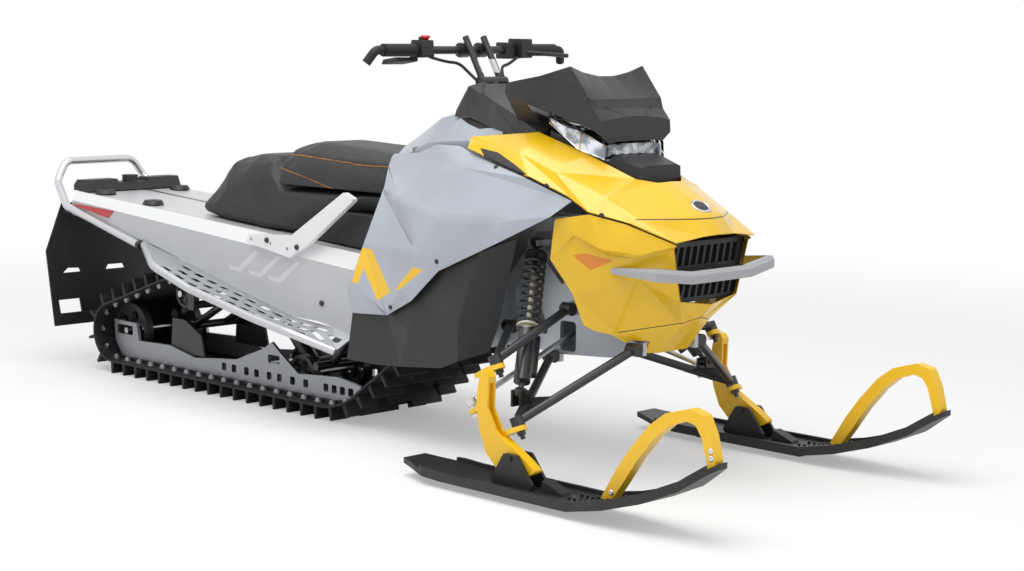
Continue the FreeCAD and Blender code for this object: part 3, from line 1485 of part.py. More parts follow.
# Bulkhead: hollow casting with pivot ears, a window for each tie rod and pockets in its sides
frame_half = 106.0
frame_wall = 12.0
frame_rear = 345.0
frame_front = 104.0
frame_low = 290.0
frame_high = 600.0
frame_shares = [(0, 0.032), (0, 0.581), (0.234, 1), (0.568, 1), (0.835, 0.613), (0.987, 0.355),
                (1, 0.194), (0.813, 0.039), (0.412, 0)]
frame_inside_shares = [(0.033, 0.081), (0.033, 0.555), (0.252, 0.952), (0.555, 0.952),
                       (0.813, 0.587), (0.955, 0.342), (0.964, 0.232), (0.8, 0.09), (0.412, 0.052)]
frame_pocket_shares = [[(0.07, 0.15), (0.07, 0.50), (0.20, 0.70), (0.34, 0.15)],
                       [(0.28, 0.80), (0.36, 0.88), (0.53, 0.88), (0.60, 0.77), (0.44, 0.58)]]
tie_window_shares = [(-0.067, -0.077), (0.117, -0.077), (0.117, 0.053), (-0.067, 0.053)]
frame_corner = 10.0
ear_half = 16.0


def make_front_frame():
    box = (ball_x - frame_rear, ball_x + frame_front, frame_low, frame_high)
    shell = side_plate(scaled(frame_shares, *box), -frame_half, frame_half)
    inner = frame_half - frame_wall
    shell = shell.cut(side_plate(scaled(frame_inside_shares, *box), -inner, inner))
    cutters = [side_plate(scaled(shares, *box), -tunnel_width, tunnel_width, frame_corner)
               for shares in frame_pocket_shares]
    tie = hard_point("tie inner")
    window = [(tie.x + front_reach * across, tie.z + front_height * up)
              for across, up in tie_window_shares]
    cutters.append(side_plate(window, -tunnel_width, tunnel_width, frame_corner))
    shell = shell.cut(Part.makeCompound(cutters))
    pieces = []
    for name in ("upper front", "upper rear", "lower front", "lower rear"):
        pivot = hard_point(name)
        outer = pivot.y - boss_radius - seat_gap
        if outer > inner:
            pieces.append(block(pivot.x - ear_half, pivot.x + ear_half, inner, outer,
                                pivot.z - ear_half, pivot.z + ear_half))
    pieces += clevis(shock_top, inner, shock_top.z - clevis_rise)
    mirror = [mirrored(piece) for piece in pieces]
    return joined(shell, *pieces, *mirror)


engine_half = 185.0
engine_low = cowl_height * 0.28155
engine_high = cowl_height * 0.60194


def make_engine():
    rear = tunnel_front_x + seat_gap
    front = ball_x - frame_rear - seat_gap
    return block(rear, front, -engine_half, engine_half, engine_low, engine_high)


# White braces from the tunnel's sides up towards the steering
brace_inset = 432.0
brace_length = 482.0
brace_low = 463.0
brace_high = 665.0
brace_thickness = 18.0
brace_corner = 6.0
brace_hole_radius = 6.0
brace_shares = [(0, 0.144), (0.423, 0), (0.568, 0.183), (1, 0.916), (0.905, 1), (0.44, 0.322),
                (0.046, 0.262)]
brace_hole_shares = [(0.06, 0.19), (0.24, 0.16), (0.40, 0.12)]


def make_frame_brace():
    rear = cowl_rear_x - brace_inset
    box = (rear, rear + brace_length, brace_low, brace_high)
    y = tunnel_width / 2 + seat_gap
    brace = side_plate(scaled(brace_shares, *box), y, y + brace_thickness, brace_corner)
    holes = [disc(V(x, y, z), LEFT, brace_hole_radius, 3 * brace_thickness)
             for x, z in scaled(brace_hole_shares, *box)]
    return brace.cut(Part.makeCompound(holes))


# Front end: silver bumper strip that wraps the nose, its beam, the grille, and lamps
strip_height = 31.0
strip_thickness = 20.0
strip_chamfer_share = 0.35
strip_taper = 0.45
strip_shares = [(0.858, 0.675, 0.524, strip_taper), (0.999, 0.745, 0.529, 1), (1.011, 0.38, 0.516, 1)]
beam_height = 22.0
beam_share = 0.62
grille_shares = (0.952, 0.972)
grille_half_share = 0.50
grille_low = cowl_height * 0.4495
strip_low = cowl_height * 0.501
strip_high = cowl_height * 0.532
grille_high = cowl_height * 0.594
slat_pitch = 26.0
slat_width = 17.0
slat_lean = 10.0
slat_edge = 12.0


def strip_section(point, outward, size):
    """Five-sided section of the strip, its upper front edge cut off."""
    out = outward * (strip_thickness / 2 * size)
    up = V(0, 0, strip_height / 2 * size)
    return [point - out - up, point + out - up, point + out + up * (1 - 2 * strip_chamfer_share),
            point + out * strip_chamfer_share + up, point - out + up]


def make_front_bumper():
    """A bent strip from one side of the nose round its front to the other."""
    left = [(cowl_point(*shares[:3]), shares[3]) for shares in strip_shares]
    right = [(V(point.x, -point.y, point.z), size) for point, size in reversed(left)]
    line = left + right
    sections = []
    for index, (point, size) in enumerate(line):
        before = line[max(index - 1, 0)][0]
        after = line[min(index + 1, len(line) - 1)][0]
        outward = V(before.y - after.y, after.x - before.x, 0)
        sections.append(strip_section(point, unit(outward), size))
    return loft(sections)


def make_bumper_beam():
    """The dark beam that carries the strip on the grille plate."""
    rear = cowl_rear_x + cowl_length * grille_shares[1]
    front, half, middle = cowl_point(*strip_shares[-1][:3])
    return block(rear, front, -half * beam_share, half * beam_share,
                 middle - beam_height / 2, middle + beam_height / 2)


def make_grille():
    """Plate behind the mouth of the nose, with a row of leaning slots above and below the strip."""
    rear, front = [cowl_rear_x + cowl_length * share for share in grille_shares]
    half = cowl_half_width * grille_half_share
    plate = block(rear, front, -half, half, grille_low, grille_high)
    slots = []
    for low, high in ((grille_low + slat_edge, strip_low - slat_edge / 2),
                      (strip_high + slat_edge / 2, grille_high - slat_edge)):
        y = -half + slat_edge
        while y + slat_width + slat_lean < half - slat_edge / 2:
            outline = [(y, low), (y + slat_width, low), (y + slat_width + slat_lean, high),
                       (y + slat_lean, high)]
            slots.append(cross_plate(outline, rear - overrun, front + overrun))
            y += slat_pitch
    return plate.cut(Part.makeCompound(slots))


lamp_radius = 17.0
lamp_length = 44.0
lamp_shares = [(0.725, 0.12, 0.815), (0.715, 0.28, 0.815)]


def make_headlamps():
    lamps = []
    for shares in lamp_shares:
        lamps += both(disc(cowl_point(*shares), AHEAD, lamp_radius, lamp_length))
    return lamps


# Push rivets that hold one panel to the next: two ends as shares of the cowl
rivet_radius = 5.0
rivet_shares = [((0.21, 0.77, 0.352), (0.215, 0.90, 0.352)), ((0.385, 0.85, 0.493), (0.40, 1.0, 0.495)),
                ((0.7025, 0.812, 0.702), (0.7015, 0.812, 0.721)),
                ((0.5255, 0.725, 0.745), (0.525, 0.73, 0.768)),
                ((0.845, 0.72, 0.628), (0.845, 0.726, 0.649))]


def rivet(ends, *panels):
    """A rod between two panels, kept only where it fills the gap between them."""
    start, end = [cowl_point(*shares) for shares in ends]
    pin = rod(start, end, rivet_radius).cut(Part.makeCompound(panels))
    middle = (start + end) * 0.5
    return min(pin.Solids, key=lambda solid: (solid.CenterOfMass - middle).Length)


def without(solid, *others):
    """The largest piece of the solid that is left outside the others."""
    return max(solid.cut(Part.makeCompound(others)).Solids, key=lambda piece: piece.Volume)


def save_cowling():
    side, lower = make_side_panel(), make_lower_panel()
    hood, nose = make_hood(), make_nose()
    vents = make_hood_vents(hood)
    tank, console = cowl_loft(tank_shares), cowl_loft(console_shares)
    windshield = cowl_shell(windshield_shares)
    lens = cowl_shell(lens_shares)
    bezel = cowl_loft(bezel_shares)
    save("side_panels", *both(side))
    save("lower_panels", *both(lower))
    save("hood", hood.cut(vent_cutters(vent_growth)))
    save("hood_vents", *vents)
    save("nose", nose)
    save("tank_cover", without(tank, post_bore()))
    save("console", without(console, tank, post_bore()))
    save("post_bearing", make_post_bearing())
    save("windshield", without(windshield, console, cowl_loft(lens_shares)))
    save("headlamp_lens", without(lens, console))
    save("headlamp_bezel", without(bezel, cowl_loft(lens_shares), console, hood))
    save("headlamps", *[without(lamp, bezel, lens) for lamp in make_headlamps()])
    bumper = without(make_front_bumper(), nose)
    save("front_bumper", bumper)
    save("grilles", without(joined(make_grille(), make_bumper_beam()), nose, bumper))
    panels = (side, lower, hood, nose)
    rivets = [rivet(ends, *panels) for ends in rivet_shares]
    save("panel_rivets", *[solid for one in rivets for solid in both(one)])


def save_rear():
    save("tunnel", make_tunnel())
    save("running_boards", *both(make_running_board()))
    save("tunnel_fittings", *make_tunnel_fittings())
    save("rear_bumper", make_rear_bumper())
    save("snow_flap", *make_snow_flap())
    save("tail_housing", make_tail_housing())
    save("tail_light", make_tail_light())
    save("side_reflectors", *both(make_side_reflector()))
    save("seat_base", make_seat_base())
    save("seat_cushion", make_seat_cushion())
    save("frame_braces", *both(make_frame_brace()))


def save_undercarriage():
    save("track", make_track())
    save("slide_rails", *both(make_rail()))
    save("wear_strips", *both(make_wear_strip()))
    save("track_wheels", *make_wheels())
    save("wheel_axles", *make_wheel_axles())
    save("drive_axle", make_drive_axle())
    save("suspension_arms", *make_suspension_arms())
    save("track_shock", make_track_shock())


def save_front():
    save("front_frame", make_front_frame())
    save("engine", make_engine())
    save("lower_arms", *both(make_lower_arm()))
    save("upper_arms", *both(make_upper_arm()))
    save("shocks", *both(make_shock()))
    save("shock_springs", *both(make_spring()))
    for side, place in (("left", lambda shape: shape), ("right", mirrored)):
        save("spindle_" + side, place(make_spindle()))
        save("tie_rod_" + side, place(make_tie_rod()))
        save("ski_" + side, place(make_ski()))
        save("ski_loop_" + side, place(make_ski_loop()))
    save("steering_post", make_steering_post())
    save("handlebar", make_handlebar())
    save("grips", *make_grips())
    save("controls", *make_controls())


def main():
    os.makedirs("parts", exist_ok=True)
    save_undercarriage()
    save_rear()
    save_cowling()
    save_front()


main()
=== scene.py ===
# %% [markdown]
# # A compact snowmobile in a white studio
# The solids come from CAD, in metres, and already stand where they belong: +X is forward, +Y is
# the rider's left and the ground is at zero. This lesson dresses them. Moulded panels get rounded
# creases, the saddle gets its swell and its stitches, and Geometry Nodes set the small hardware.

# %% Load the fixed frame
import json
import math
import bpy
import bmesh
from mathutils import Matrix, Vector
from mathutils.bvhtree import BVHTree

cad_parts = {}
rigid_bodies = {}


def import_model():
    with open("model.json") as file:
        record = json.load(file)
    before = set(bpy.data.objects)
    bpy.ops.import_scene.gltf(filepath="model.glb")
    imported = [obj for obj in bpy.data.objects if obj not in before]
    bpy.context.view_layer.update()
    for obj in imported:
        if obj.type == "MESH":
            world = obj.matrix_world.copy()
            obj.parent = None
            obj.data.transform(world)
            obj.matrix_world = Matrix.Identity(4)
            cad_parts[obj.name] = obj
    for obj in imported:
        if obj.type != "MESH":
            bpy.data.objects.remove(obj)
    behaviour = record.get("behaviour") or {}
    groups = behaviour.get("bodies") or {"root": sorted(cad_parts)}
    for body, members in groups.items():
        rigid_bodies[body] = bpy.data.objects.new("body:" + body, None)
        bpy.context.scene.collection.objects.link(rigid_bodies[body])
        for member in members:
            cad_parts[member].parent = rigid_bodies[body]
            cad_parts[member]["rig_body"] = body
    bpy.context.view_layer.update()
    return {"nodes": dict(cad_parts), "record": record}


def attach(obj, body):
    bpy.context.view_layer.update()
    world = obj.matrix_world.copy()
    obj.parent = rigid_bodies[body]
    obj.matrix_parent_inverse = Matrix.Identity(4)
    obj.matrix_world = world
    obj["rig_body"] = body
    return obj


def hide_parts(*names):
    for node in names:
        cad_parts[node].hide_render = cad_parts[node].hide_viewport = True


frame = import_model()
nodes = frame["nodes"]
scene = bpy.context.scene
scene.view_settings.view_transform = "Standard"
print("the CAD model has", len(nodes), "nodes")

# %% [markdown]
# ## The camera
# The photograph was taken from the front right, a little above the seat, with a long lens. Three
# angles and a place describe that view. Their cosines and sines give the camera's own axes, which
# are the columns of its matrix, so no tracking constraint is needed.

# %% Set up the camera
lens_length, sensor_width = 70.83, 36
camera_place = Vector((4.2011, -3.8707, 1.1368))
azimuth, pitch, roll = (math.radians(angle) for angle in (44.2412, 7.4368, 0.7543))
backward = Vector((math.sin(azimuth) * math.cos(pitch), -math.cos(azimuth) * math.cos(pitch),
                   math.sin(pitch)))
level = Vector((math.cos(azimuth), math.sin(azimuth), 0))
camera_right = math.cos(roll) * level + math.sin(roll) * backward.cross(level)
camera_up = backward.cross(camera_right)
camera_axes = Matrix((camera_right, camera_up, backward)).transposed()


def placed(name, data):
    made = bpy.data.objects.new(name, data)
    scene.collection.objects.link(made)
    return made


camera = placed("photo_camera", bpy.data.cameras.new("photo_camera"))
camera.data.lens = lens_length
camera.data.sensor_width = sensor_width
camera.matrix_world = Matrix.Translation(camera_place) @ camera_axes.to_4x4()
scene.camera = camera
print("the camera stands", round(camera_place.length, 2), "m from the middle of the machine")

# %% [markdown]
# ## Shader maths as Python
# A material is a graph of nodes, and wiring it by hand takes many lines. One small class wraps a
# socket and turns Python's operators into Math nodes, and a second one makes any other node.

# %% Wrap a socket
class Value:
    """One output socket; arithmetic on it adds Math nodes."""

    def __init__(self, finish, socket):
        self.finish, self.socket = finish, socket

    def math(self, operation, *others):
        inlets = dict(enumerate((self,) + others))
        return self.finish.node("ShaderNodeMath", {"operation": operation}, inlets)

    def __add__(self, other): return self.math("ADD", other)
    def __sub__(self, other): return self.math("SUBTRACT", other)
    def __mul__(self, other): return self.math("MULTIPLY", other)
    def __lt__(self, other): return self.math("LESS_THAN", other)
    def __gt__(self, other): return self.math("GREATER_THAN", other)
    def __abs__(self): return self.math("ABSOLUTE")
    __radd__, __rmul__ = __add__, __mul__

    def __rsub__(self, other):
        return self.finish.node("ShaderNodeMath", {"operation": "SUBTRACT"}, {0: other, 1: self})


def between(value, low, high):
    """One where a value lies between two bounds."""
    return (value > low) * (value < high)


# %% Build a finish
colour_a, colour_b, colour_result = 6, 7, 2  # the Mix node's sockets when it mixes colours


class Finish:
    """A material with one Principled shader, and one method for any other node."""

    def __init__(self, name, colour, roughness, **constants):
        self.fed = {}
        self.material = bpy.data.materials.new(name)
        self.material.use_nodes = True
        self.material.diffuse_color = (*colour, 1)
        self.tree = self.material.node_tree
        self.shader = self.tree.nodes["Principled BSDF"]
        self.shader.inputs["Base Color"].default_value = (*colour, 1)
        self.shader.inputs["Roughness"].default_value = roughness
        for socket, amount in constants.items():
            self.shader.inputs[socket.replace("_", " ")].default_value = amount
        self.place = self.node("ShaderNodeTexCoord", outlet="Object")
        self.x, self.y, self.z = (self.node("ShaderNodeSeparateXYZ", {}, {0: self.place}, axis)
                                  for axis in "XYZ")

    def node(self, kind, settings=None, inlets=None, outlet=0):
        made = self.tree.nodes.new(kind)
        for setting, value in (settings or {}).items():
            setattr(made, setting, value)
        for name, value in (inlets or {}).items():
            if isinstance(value, Value):
                self.tree.links.new(value.socket, made.inputs[name])
            else:
                made.inputs[name].default_value = value
        return Value(self, made.outputs[outlet])

    def feed(self, socket, value):
        self.tree.links.new(value.socket, self.shader.inputs[socket])
        self.fed[socket] = value

    def marked(self, share, colour):
        """Lays a colour over the tone where the share is one."""
        self.feed("Base Color", self.mix(share, self.fed["Base Color"], colour))

    def inside(self, corners):
        """One inside a convex outline of x and z pairs, nought outside it."""
        edges = list(zip(corners, corners[1:] + corners[:1]))
        turn = 1 if sum(a[0] * b[1] - b[0] * a[1] for a, b in edges) > 0 else -1
        share = None
        for a, b in edges:
            out_x, out_z = (b[1] - a[1]) * turn, (a[0] - b[0]) * turn
            side = self.x * out_x + self.z * out_z < out_x * a[0] + out_z * a[1]
            share = side if share is None else share * side
        return share

    def line(self, value, half_width):
        """One where the value is within half a width of nought."""
        return abs(value) < half_width

    def noise(self, scale, detail=2.0, rough=0.5):
        inlets = {"Vector": self.place, "Scale": scale, "Detail": detail, "Roughness": rough}
        return self.node("ShaderNodeTexNoise", {}, inlets)

    def cells(self, scale):
        return self.node("ShaderNodeTexVoronoi", {}, {"Vector": self.place, "Scale": scale})

    def smooth(self, value, low, high):
        """Nought below low, one above high, and an easy curve between."""
        inlets = {"Value": value, "From Min": low, "From Max": high}
        return self.node("ShaderNodeMapRange", {"interpolation_type": "SMOOTHSTEP"}, inlets)

    def mix(self, share, first, second):
        """A colour that goes from first to second with the share."""
        first, second = (colour if isinstance(colour, Value) else (*colour, 1)
                         for colour in (first, second))
        inlets = {"Factor": share, colour_a: first, colour_b: second}
        return self.node("ShaderNodeMix", {"data_type": "RGBA"}, inlets, colour_result)

    def bump(self, height, depth):
        """Feeds the height, nought to one, into the shader as relief of that many metres."""
        inlets = {"Height": height, "Distance": depth, "Strength": 1.0}
        self.feed("Normal", self.node("ShaderNodeBump", {}, inlets))


# %% [markdown]
# ## Finishes
# Each maker's finish is a function of a few values. Paint on plastic has a clear coat, a slow
# drift of tone and a very fine orange peel. Moulded plastic has a pebbled grain that breaks up its
# shine, and rubber gathers dust. Metal is brushed, cast or powder coated.

# %% Paint, plastic and rubber
def gloss_paint(name, colour, coat=0.6):
    finish = Finish(name, colour, 0.32, Coat_Weight=coat, Coat_Roughness=0.06, IOR=1.5)
    drift, haze = finish.noise(5.0), finish.noise(38.0, 4.0)
    orange_peel, peel_depth = finish.noise(650.0, 1.0), 0.00004
    deeper = [channel * 0.90 for channel in colour]
    finish.feed("Base Color", finish.mix(finish.smooth(drift, 0.35, 0.65), deeper, colour))
    finish.feed("Roughness", 0.26 + 0.10 * haze)
    finish.bump(orange_peel, peel_depth)
    return finish


def moulded_plastic(name, colour, roughness, grain=900.0, depth=0.00012):
    finish = Finish(name, colour, roughness, IOR=1.48)
    pebbles, scuffs = finish.cells(grain), finish.noise(14.0, 6.0, 0.6)
    lighter = [channel * 1.6 + 0.004 for channel in colour]
    finish.feed("Base Color", finish.mix(finish.smooth(scuffs, 0.5, 0.85), colour, lighter))
    finish.feed("Roughness", roughness - 0.08 + 0.16 * scuffs)
    finish.bump(pebbles, depth)
    return finish


def moulded_rubber(name, colour):
    finish = Finish(name, colour, 0.72, IOR=1.45)
    dust = finish.smooth(finish.noise(22.0, 8.0, 0.65), 0.48, 0.72)
    skin, skin_depth = finish.noise(420.0, 4.0), 0.0003
    dusty = [channel * 2.2 + 0.01 for channel in colour]
    finish.feed("Base Color", finish.mix(dust, colour, dusty))
    finish.feed("Roughness", 0.58 + 0.25 * dust)
    finish.bump(skin, skin_depth)
    return finish


# %% Metal
def brushed_metal(name, colour, roughness=0.28, stretch=(6.0, 400.0, 400.0), depth=0.00003):
    finish = Finish(name, colour, roughness, Metallic=1.0)
    stretched = finish.node("ShaderNodeMapping", {}, {"Vector": finish.place, "Scale": stretch})
    inlets = {"Vector": stretched, "Scale": 1.0, "Detail": 3.0}
    strokes = finish.node("ShaderNodeTexNoise", {}, inlets)
    duller = [channel * 0.82 for channel in colour]
    finish.feed("Base Color", finish.mix(strokes, duller, colour))
    finish.feed("Roughness", roughness - 0.08 + 0.2 * strokes)
    finish.bump(strokes, depth)
    return finish


def cast_metal(name, colour, roughness=0.5, depth=0.0002):
    finish = Finish(name, colour, roughness, Metallic=0.75)
    flow, sand = finish.noise(60.0, 4.0), finish.noise(520.0, 3.0)
    finish.feed("Roughness", roughness - 0.1 + 0.2 * flow)
    finish.bump(sand, depth)
    return finish


def powder_coat(name, colour, roughness=0.42, metallic=0.0, depth=0.00006):
    finish = Finish(name, colour, roughness, Metallic=metallic, Coat_Weight=0.15,
                    Coat_Roughness=0.2)
    drift, haze, powder = finish.noise(9.0), finish.noise(30.0, 3.0), finish.noise(900.0, 2.0)
    lighter = [min(1.0, channel * 1.12 + 0.004) for channel in colour]
    finish.feed("Base Color", finish.mix(drift, colour, lighter))
    finish.feed("Roughness", roughness - 0.06 + 0.12 * haze)
    finish.bump(powder, depth)
    return finish


# %% The machine's own finishes
panel_yellow, yellow_gloss = (0.90, 0.55, 0.008), 0.35
panel_grey, grey_gloss = (0.44, 0.475, 0.53), 0.25
coat_black = (0.014, 0.014, 0.015)
fine_grain, vinyl_grain = (1200.0, 0.00006), (700.0, 0.0002)
yellow_paint = gloss_paint("yellow_paint", panel_yellow, yellow_gloss)
grey_paint = gloss_paint("grey_paint", panel_grey, grey_gloss)
black_moulding = moulded_plastic("black_moulding", (0.016, 0.016, 0.017), 0.46)
satin_moulding = moulded_plastic("satin_moulding", (0.030, 0.030, 0.032), 0.40, *fine_grain)
track_rubber = moulded_rubber("track_rubber", (0.012, 0.012, 0.012))
grip_rubber = moulded_rubber("grip_rubber", (0.012, 0.012, 0.013))
white_coat = powder_coat("white_coat", (0.78, 0.79, 0.80), 0.38, 0.1)
bright_metal = brushed_metal("bright_metal", (0.72, 0.73, 0.75))
rail_metal = brushed_metal("rail_metal", (0.34, 0.35, 0.37), 0.40)
strip_metal = brushed_metal("strip_metal", (0.50, 0.51, 0.53), 0.30)
board_metal = brushed_metal("board_metal", (0.62, 0.63, 0.65), 0.40)
cast_alloy = cast_metal("cast_alloy", (0.50, 0.53, 0.57))
black_coat = powder_coat("black_coat", coat_black, 0.36)
yellow_coat = powder_coat("yellow_coat", (0.90, 0.53, 0.008), 0.34)
seat_vinyl = moulded_plastic("seat_vinyl", (0.024, 0.024, 0.026), 0.52, *vinyl_grain)
spring_coat = powder_coat("spring_coat", (0.016, 0.016, 0.017), 0.3)
stitch_thread = powder_coat("stitch_thread", (0.75, 0.30, 0.01), 0.7)
stop_red = gloss_paint("stop_red", (0.62, 0.012, 0.02))
print(len(bpy.data.materials), "finishes so far")

# %% Clear cover, red reflector and lamp chrome
clear_lens = Finish("clear_lens", (0.93, 0.95, 0.97), 0.02, Transmission_Weight=1.0, IOR=1.15)
clear_lens.feed("Roughness", 0.01 + 0.03 * clear_lens.noise(12.0))

red_reflector = Finish("red_reflector", (0.55, 0.018, 0.02), 0.18, Coat_Weight=0.8, IOR=1.5)
deep_red, bright_red = (0.45, 0.012, 0.015), (0.62, 0.02, 0.025)
prisms, prism_depth = red_reflector.cells(260.0), 0.0004
red_tone = red_reflector.mix(red_reflector.noise(30.0), deep_red, bright_red)
red_reflector.feed("Base Color", red_tone)
red_reflector.bump(prisms, prism_depth)

chrome = Finish("lamp_chrome", (0.88, 0.89, 0.91), 0.08, Metallic=1.0)
# The bright and dim patches in the chrome's colour are painted reflection.
dim_reflection, bright_reflection = (0.30, 0.31, 0.33), (0.93, 0.94, 0.96)
slopes_per_metre, ridge_depth = 62.0, 0.004
reflection_patches = chrome.smooth(chrome.noise(26.0, 3.0), 0.40, 0.62)
chrome.feed("Base Color", chrome.mix(reflection_patches, dim_reflection, bright_reflection))
chrome.feed("Roughness", 0.05 + 0.10 * chrome.noise(80.0))
chrome.bump((chrome.y * slopes_per_metre).math("PINGPONG", 1.0), ridge_depth)
print("the chrome has", slopes_per_metre / 2, "upright ridges a metre")

# %% [markdown]
# ## Marks and seams in the paint
# The bold yellow shapes on the side panels are convex outlines. An image would need a file, so
# shader maths tests whether a point lies on the inner side of every edge. A seam is a thin line
# of dark tone at one height; the one under the nose's skirt also holds painted shade for the gap
# below the skirt's overhang. Object coordinates keep all of it in place.

# %% Mark the side panels
yellow_mark = (0.93, 0.55, 0.010)
panel_marks = [
    [(0.061, 0.424), (0.087, 0.424), (0.105, 0.467), (0.112, 0.522), (0.088, 0.522)],
    [(0.105, 0.467), (0.173, 0.386), (0.233, 0.416), (0.140, 0.522), (0.100, 0.522)],
    [(0.255, 0.424), (0.280, 0.429), (0.380, 0.491), (0.341, 0.495)]]
for outline in panel_marks:
    grey_paint.marked(grey_paint.inside(outline), yellow_mark)
print(len(panel_marks), "outlines on each side panel")

# %% Mark the nose, draw the seams and paint shade along the chin's seam
nose_mark = [(0.869, 0.571), (0.916, 0.536), (0.973, 0.564), (0.902, 0.578)]
mark_orange, chin_gap_shade, hood_tone = (0.75, 0.24, 0.02), (0.05, 0.03, 0.005), (0.08, 0.045, 0.005)
nose_paint = gloss_paint("nose_paint", panel_yellow, yellow_gloss)
nose_paint.marked(nose_paint.inside(nose_mark), mark_orange)

# The dark line under the nose's skirt is its seam with painted shade: it stands for the shadow in
# the gap below the skirt's overhang.
chin_height, chin_rise, chin_rear, chin_half = 0.418, 0.22, 0.96, 0.0013
chin = nose_paint.z - chin_height + chin_rise * abs(nose_paint.y)
nose_paint.marked(nose_paint.line(chin, chin_half) * (nose_paint.x > chin_rear), chin_gap_shade)

hood_height, hood_rear, hood_side, hood_half = 0.667, 1.02, 0.185, 0.0014
hood_line = yellow_paint.line(yellow_paint.z - hood_height, hood_half)
hood_reach = (yellow_paint.x > hood_rear) * (abs(yellow_paint.y) < hood_side)
yellow_paint.marked(hood_line * hood_reach, hood_tone)
print("seams on the chin and on the hood")

# %% [markdown]
# ## The tunnel's tones
# The tunnel is folded sheet: a white band along the fold, grey flanks and deck, and a dark strip
# on the deck. Its edges fall evenly from rear to front, so one function gives their heights. The
# pressed hooks are only a paler tone, a painted highlight standing in for the light on their
# pressed faces, because the sheet's solid is plain there.

# %% Colour the tunnel
tunnel_rear = -1.3615
deck_edge, fold_edge = (0.577, 0.05886), (0.548, 0.0713)


def height_along(edge, x):
    """The height of an edge that falls towards the front; x is a number or a socket."""
    rear_height, slope = edge
    return rear_height - slope * (x - tunnel_rear)


sheet = powder_coat("tunnel_coat", (0.52, 0.53, 0.545), 0.42, 0.3)
band_white, stripe_dark, hook_painted_highlight = (0.83, 0.84, 0.85), (0.07, 0.07, 0.075), (0.68, 0.69, 0.70)
fold_across, flank_across = 0.1862, 0.2
above_fold = sheet.z > height_along(fold_edge, sheet.x)
sheet.marked(above_fold * (abs(sheet.y) > fold_across), band_white)

stripe_across, stripe_half, stripe_low, stripe_front = 0.048, 0.010, 0.50, -0.60
stripe = sheet.line(sheet.y - stripe_across, stripe_half)
on_deck = (sheet.z > stripe_low) * (sheet.x < stripe_front)
sheet.marked(stripe * on_deck, stripe_dark)

flank = abs(sheet.y) > flank_across
# The hooks are pressed into the sheet; their paler tone is a painted highlight on their faces.
hook_steps, hook_top, hook_low, hook_fall = (-0.098, 0.0, 0.090), 0.458, 0.390, 0.07
for step in hook_steps:
    top, low = hook_top - hook_fall * step, hook_low - hook_fall * step
    arm = [(step - 0.322, top), (step - 0.298, top), (step - 0.388, low), (step - 0.416, low)]
    foot = [(step - 0.388, low), (step - 0.404, low + 0.013), (step - 0.448, low + 0.017),
            (step - 0.442, low + 0.004)]
    for outline in (arm, foot):
        sheet.marked(sheet.inside(outline) * flank, hook_painted_highlight)
print(len(hook_steps), "pale hooks on each flank")

# %% [markdown]
# ## Slots and bands on the dark mouldings
# The slots of windshield and cover and the console's seam are narrow, and from here only their
# dark tone is seen, so they are marks too. The slots are openings, and their near-black is painted
# shade inside them. The dampers' shafts and the riser's face are bare metal on a coated body, told
# apart by their height.

# %% Paint shade into the windshield's slots and draw the console's seam
shroud = moulded_plastic("shroud", (0.022, 0.022, 0.024), 0.42, *fine_grain)
gloss_gain, gloss_low, gloss_front = 0.2, 0.928, 0.84
glossy = gloss_gain * (shroud.z > gloss_low) * (shroud.x < gloss_front)
shroud.feed("Roughness", shroud.fed["Roughness"] - glossy)
windshield_slots = ((0.130, 0.945), (0.082, 0.925), (0.051, 0.914))
slot_slant, slot_half_width, slot_half_height, slot_rear = 0.5, 0.011, 0.0045, 0.818
# The slots' near-black is painted shade inside the openings.
slot_painted_shade, seam_tone = (0.001, 0.001, 0.001), (0.003, 0.003, 0.003)
for across, height in windshield_slots:
    away = abs(shroud.y) - across
    rise = shroud.z - height - slot_slant * away
    slot = shroud.line(away, slot_half_width) * shroud.line(rise, slot_half_height)
    shroud.marked(slot * (shroud.x > slot_rear), slot_painted_shade)

console = moulded_plastic("console_moulding", (0.028, 0.028, 0.030), 0.42, *fine_grain)
seam_place, seam_slope, seam_half = (0.399, 0.963), 0.669, 0.0016
console_seam = (console.z - seam_place[1]) + (console.x - seam_place[0]) * seam_slope
console.marked(console.line(console_seam, seam_half), seam_tone)
print(len(windshield_slots), "slots on each side of the windshield")

# %% Paint shade into the cover's slots and along the saddle's foot
cover_paint = gloss_paint("cover_paint", panel_grey, grey_gloss)
cover_slots = ([(0.351, 0.885), (0.421, 0.886), (0.486, 0.865), (0.435, 0.858), (0.394, 0.868)],
               [(0.180, 0.795), (0.215, 0.803), (0.205, 0.786)])
# The cover's slots are openings, and their near-black is painted shade inside them.
for outline in cover_slots:
    cover_paint.marked(cover_paint.inside(outline), (0.008, 0.008, 0.009))

base_vinyl = moulded_plastic("base_vinyl", (0.022, 0.022, 0.024), 0.50, *vinyl_grain)
# The darker band at the saddle's foot is painted shade where the saddle meets the deck.
foot_rise, foot_painted_shade = 0.020, (0.006, 0.006, 0.006)
foot_shade_band = base_vinyl.z < height_along(deck_edge, base_vinyl.x) + foot_rise
base_vinyl.marked(foot_shade_band, foot_painted_shade)
print(len(cover_slots), "slots on each side of the cover")

# %% Bare the dampers' shafts and the riser's face
shock_coat = powder_coat("shock_coat", coat_black, 0.32)
shaft_low, shaft_high, shaft_across, shaft_tone = 0.385, 0.545, 0.19, (0.46, 0.42, 0.34)
shaft = between(shock_coat.z, shaft_low, shaft_high) * (abs(shock_coat.y) > shaft_across)
shock_coat.marked(shaft, shaft_tone)

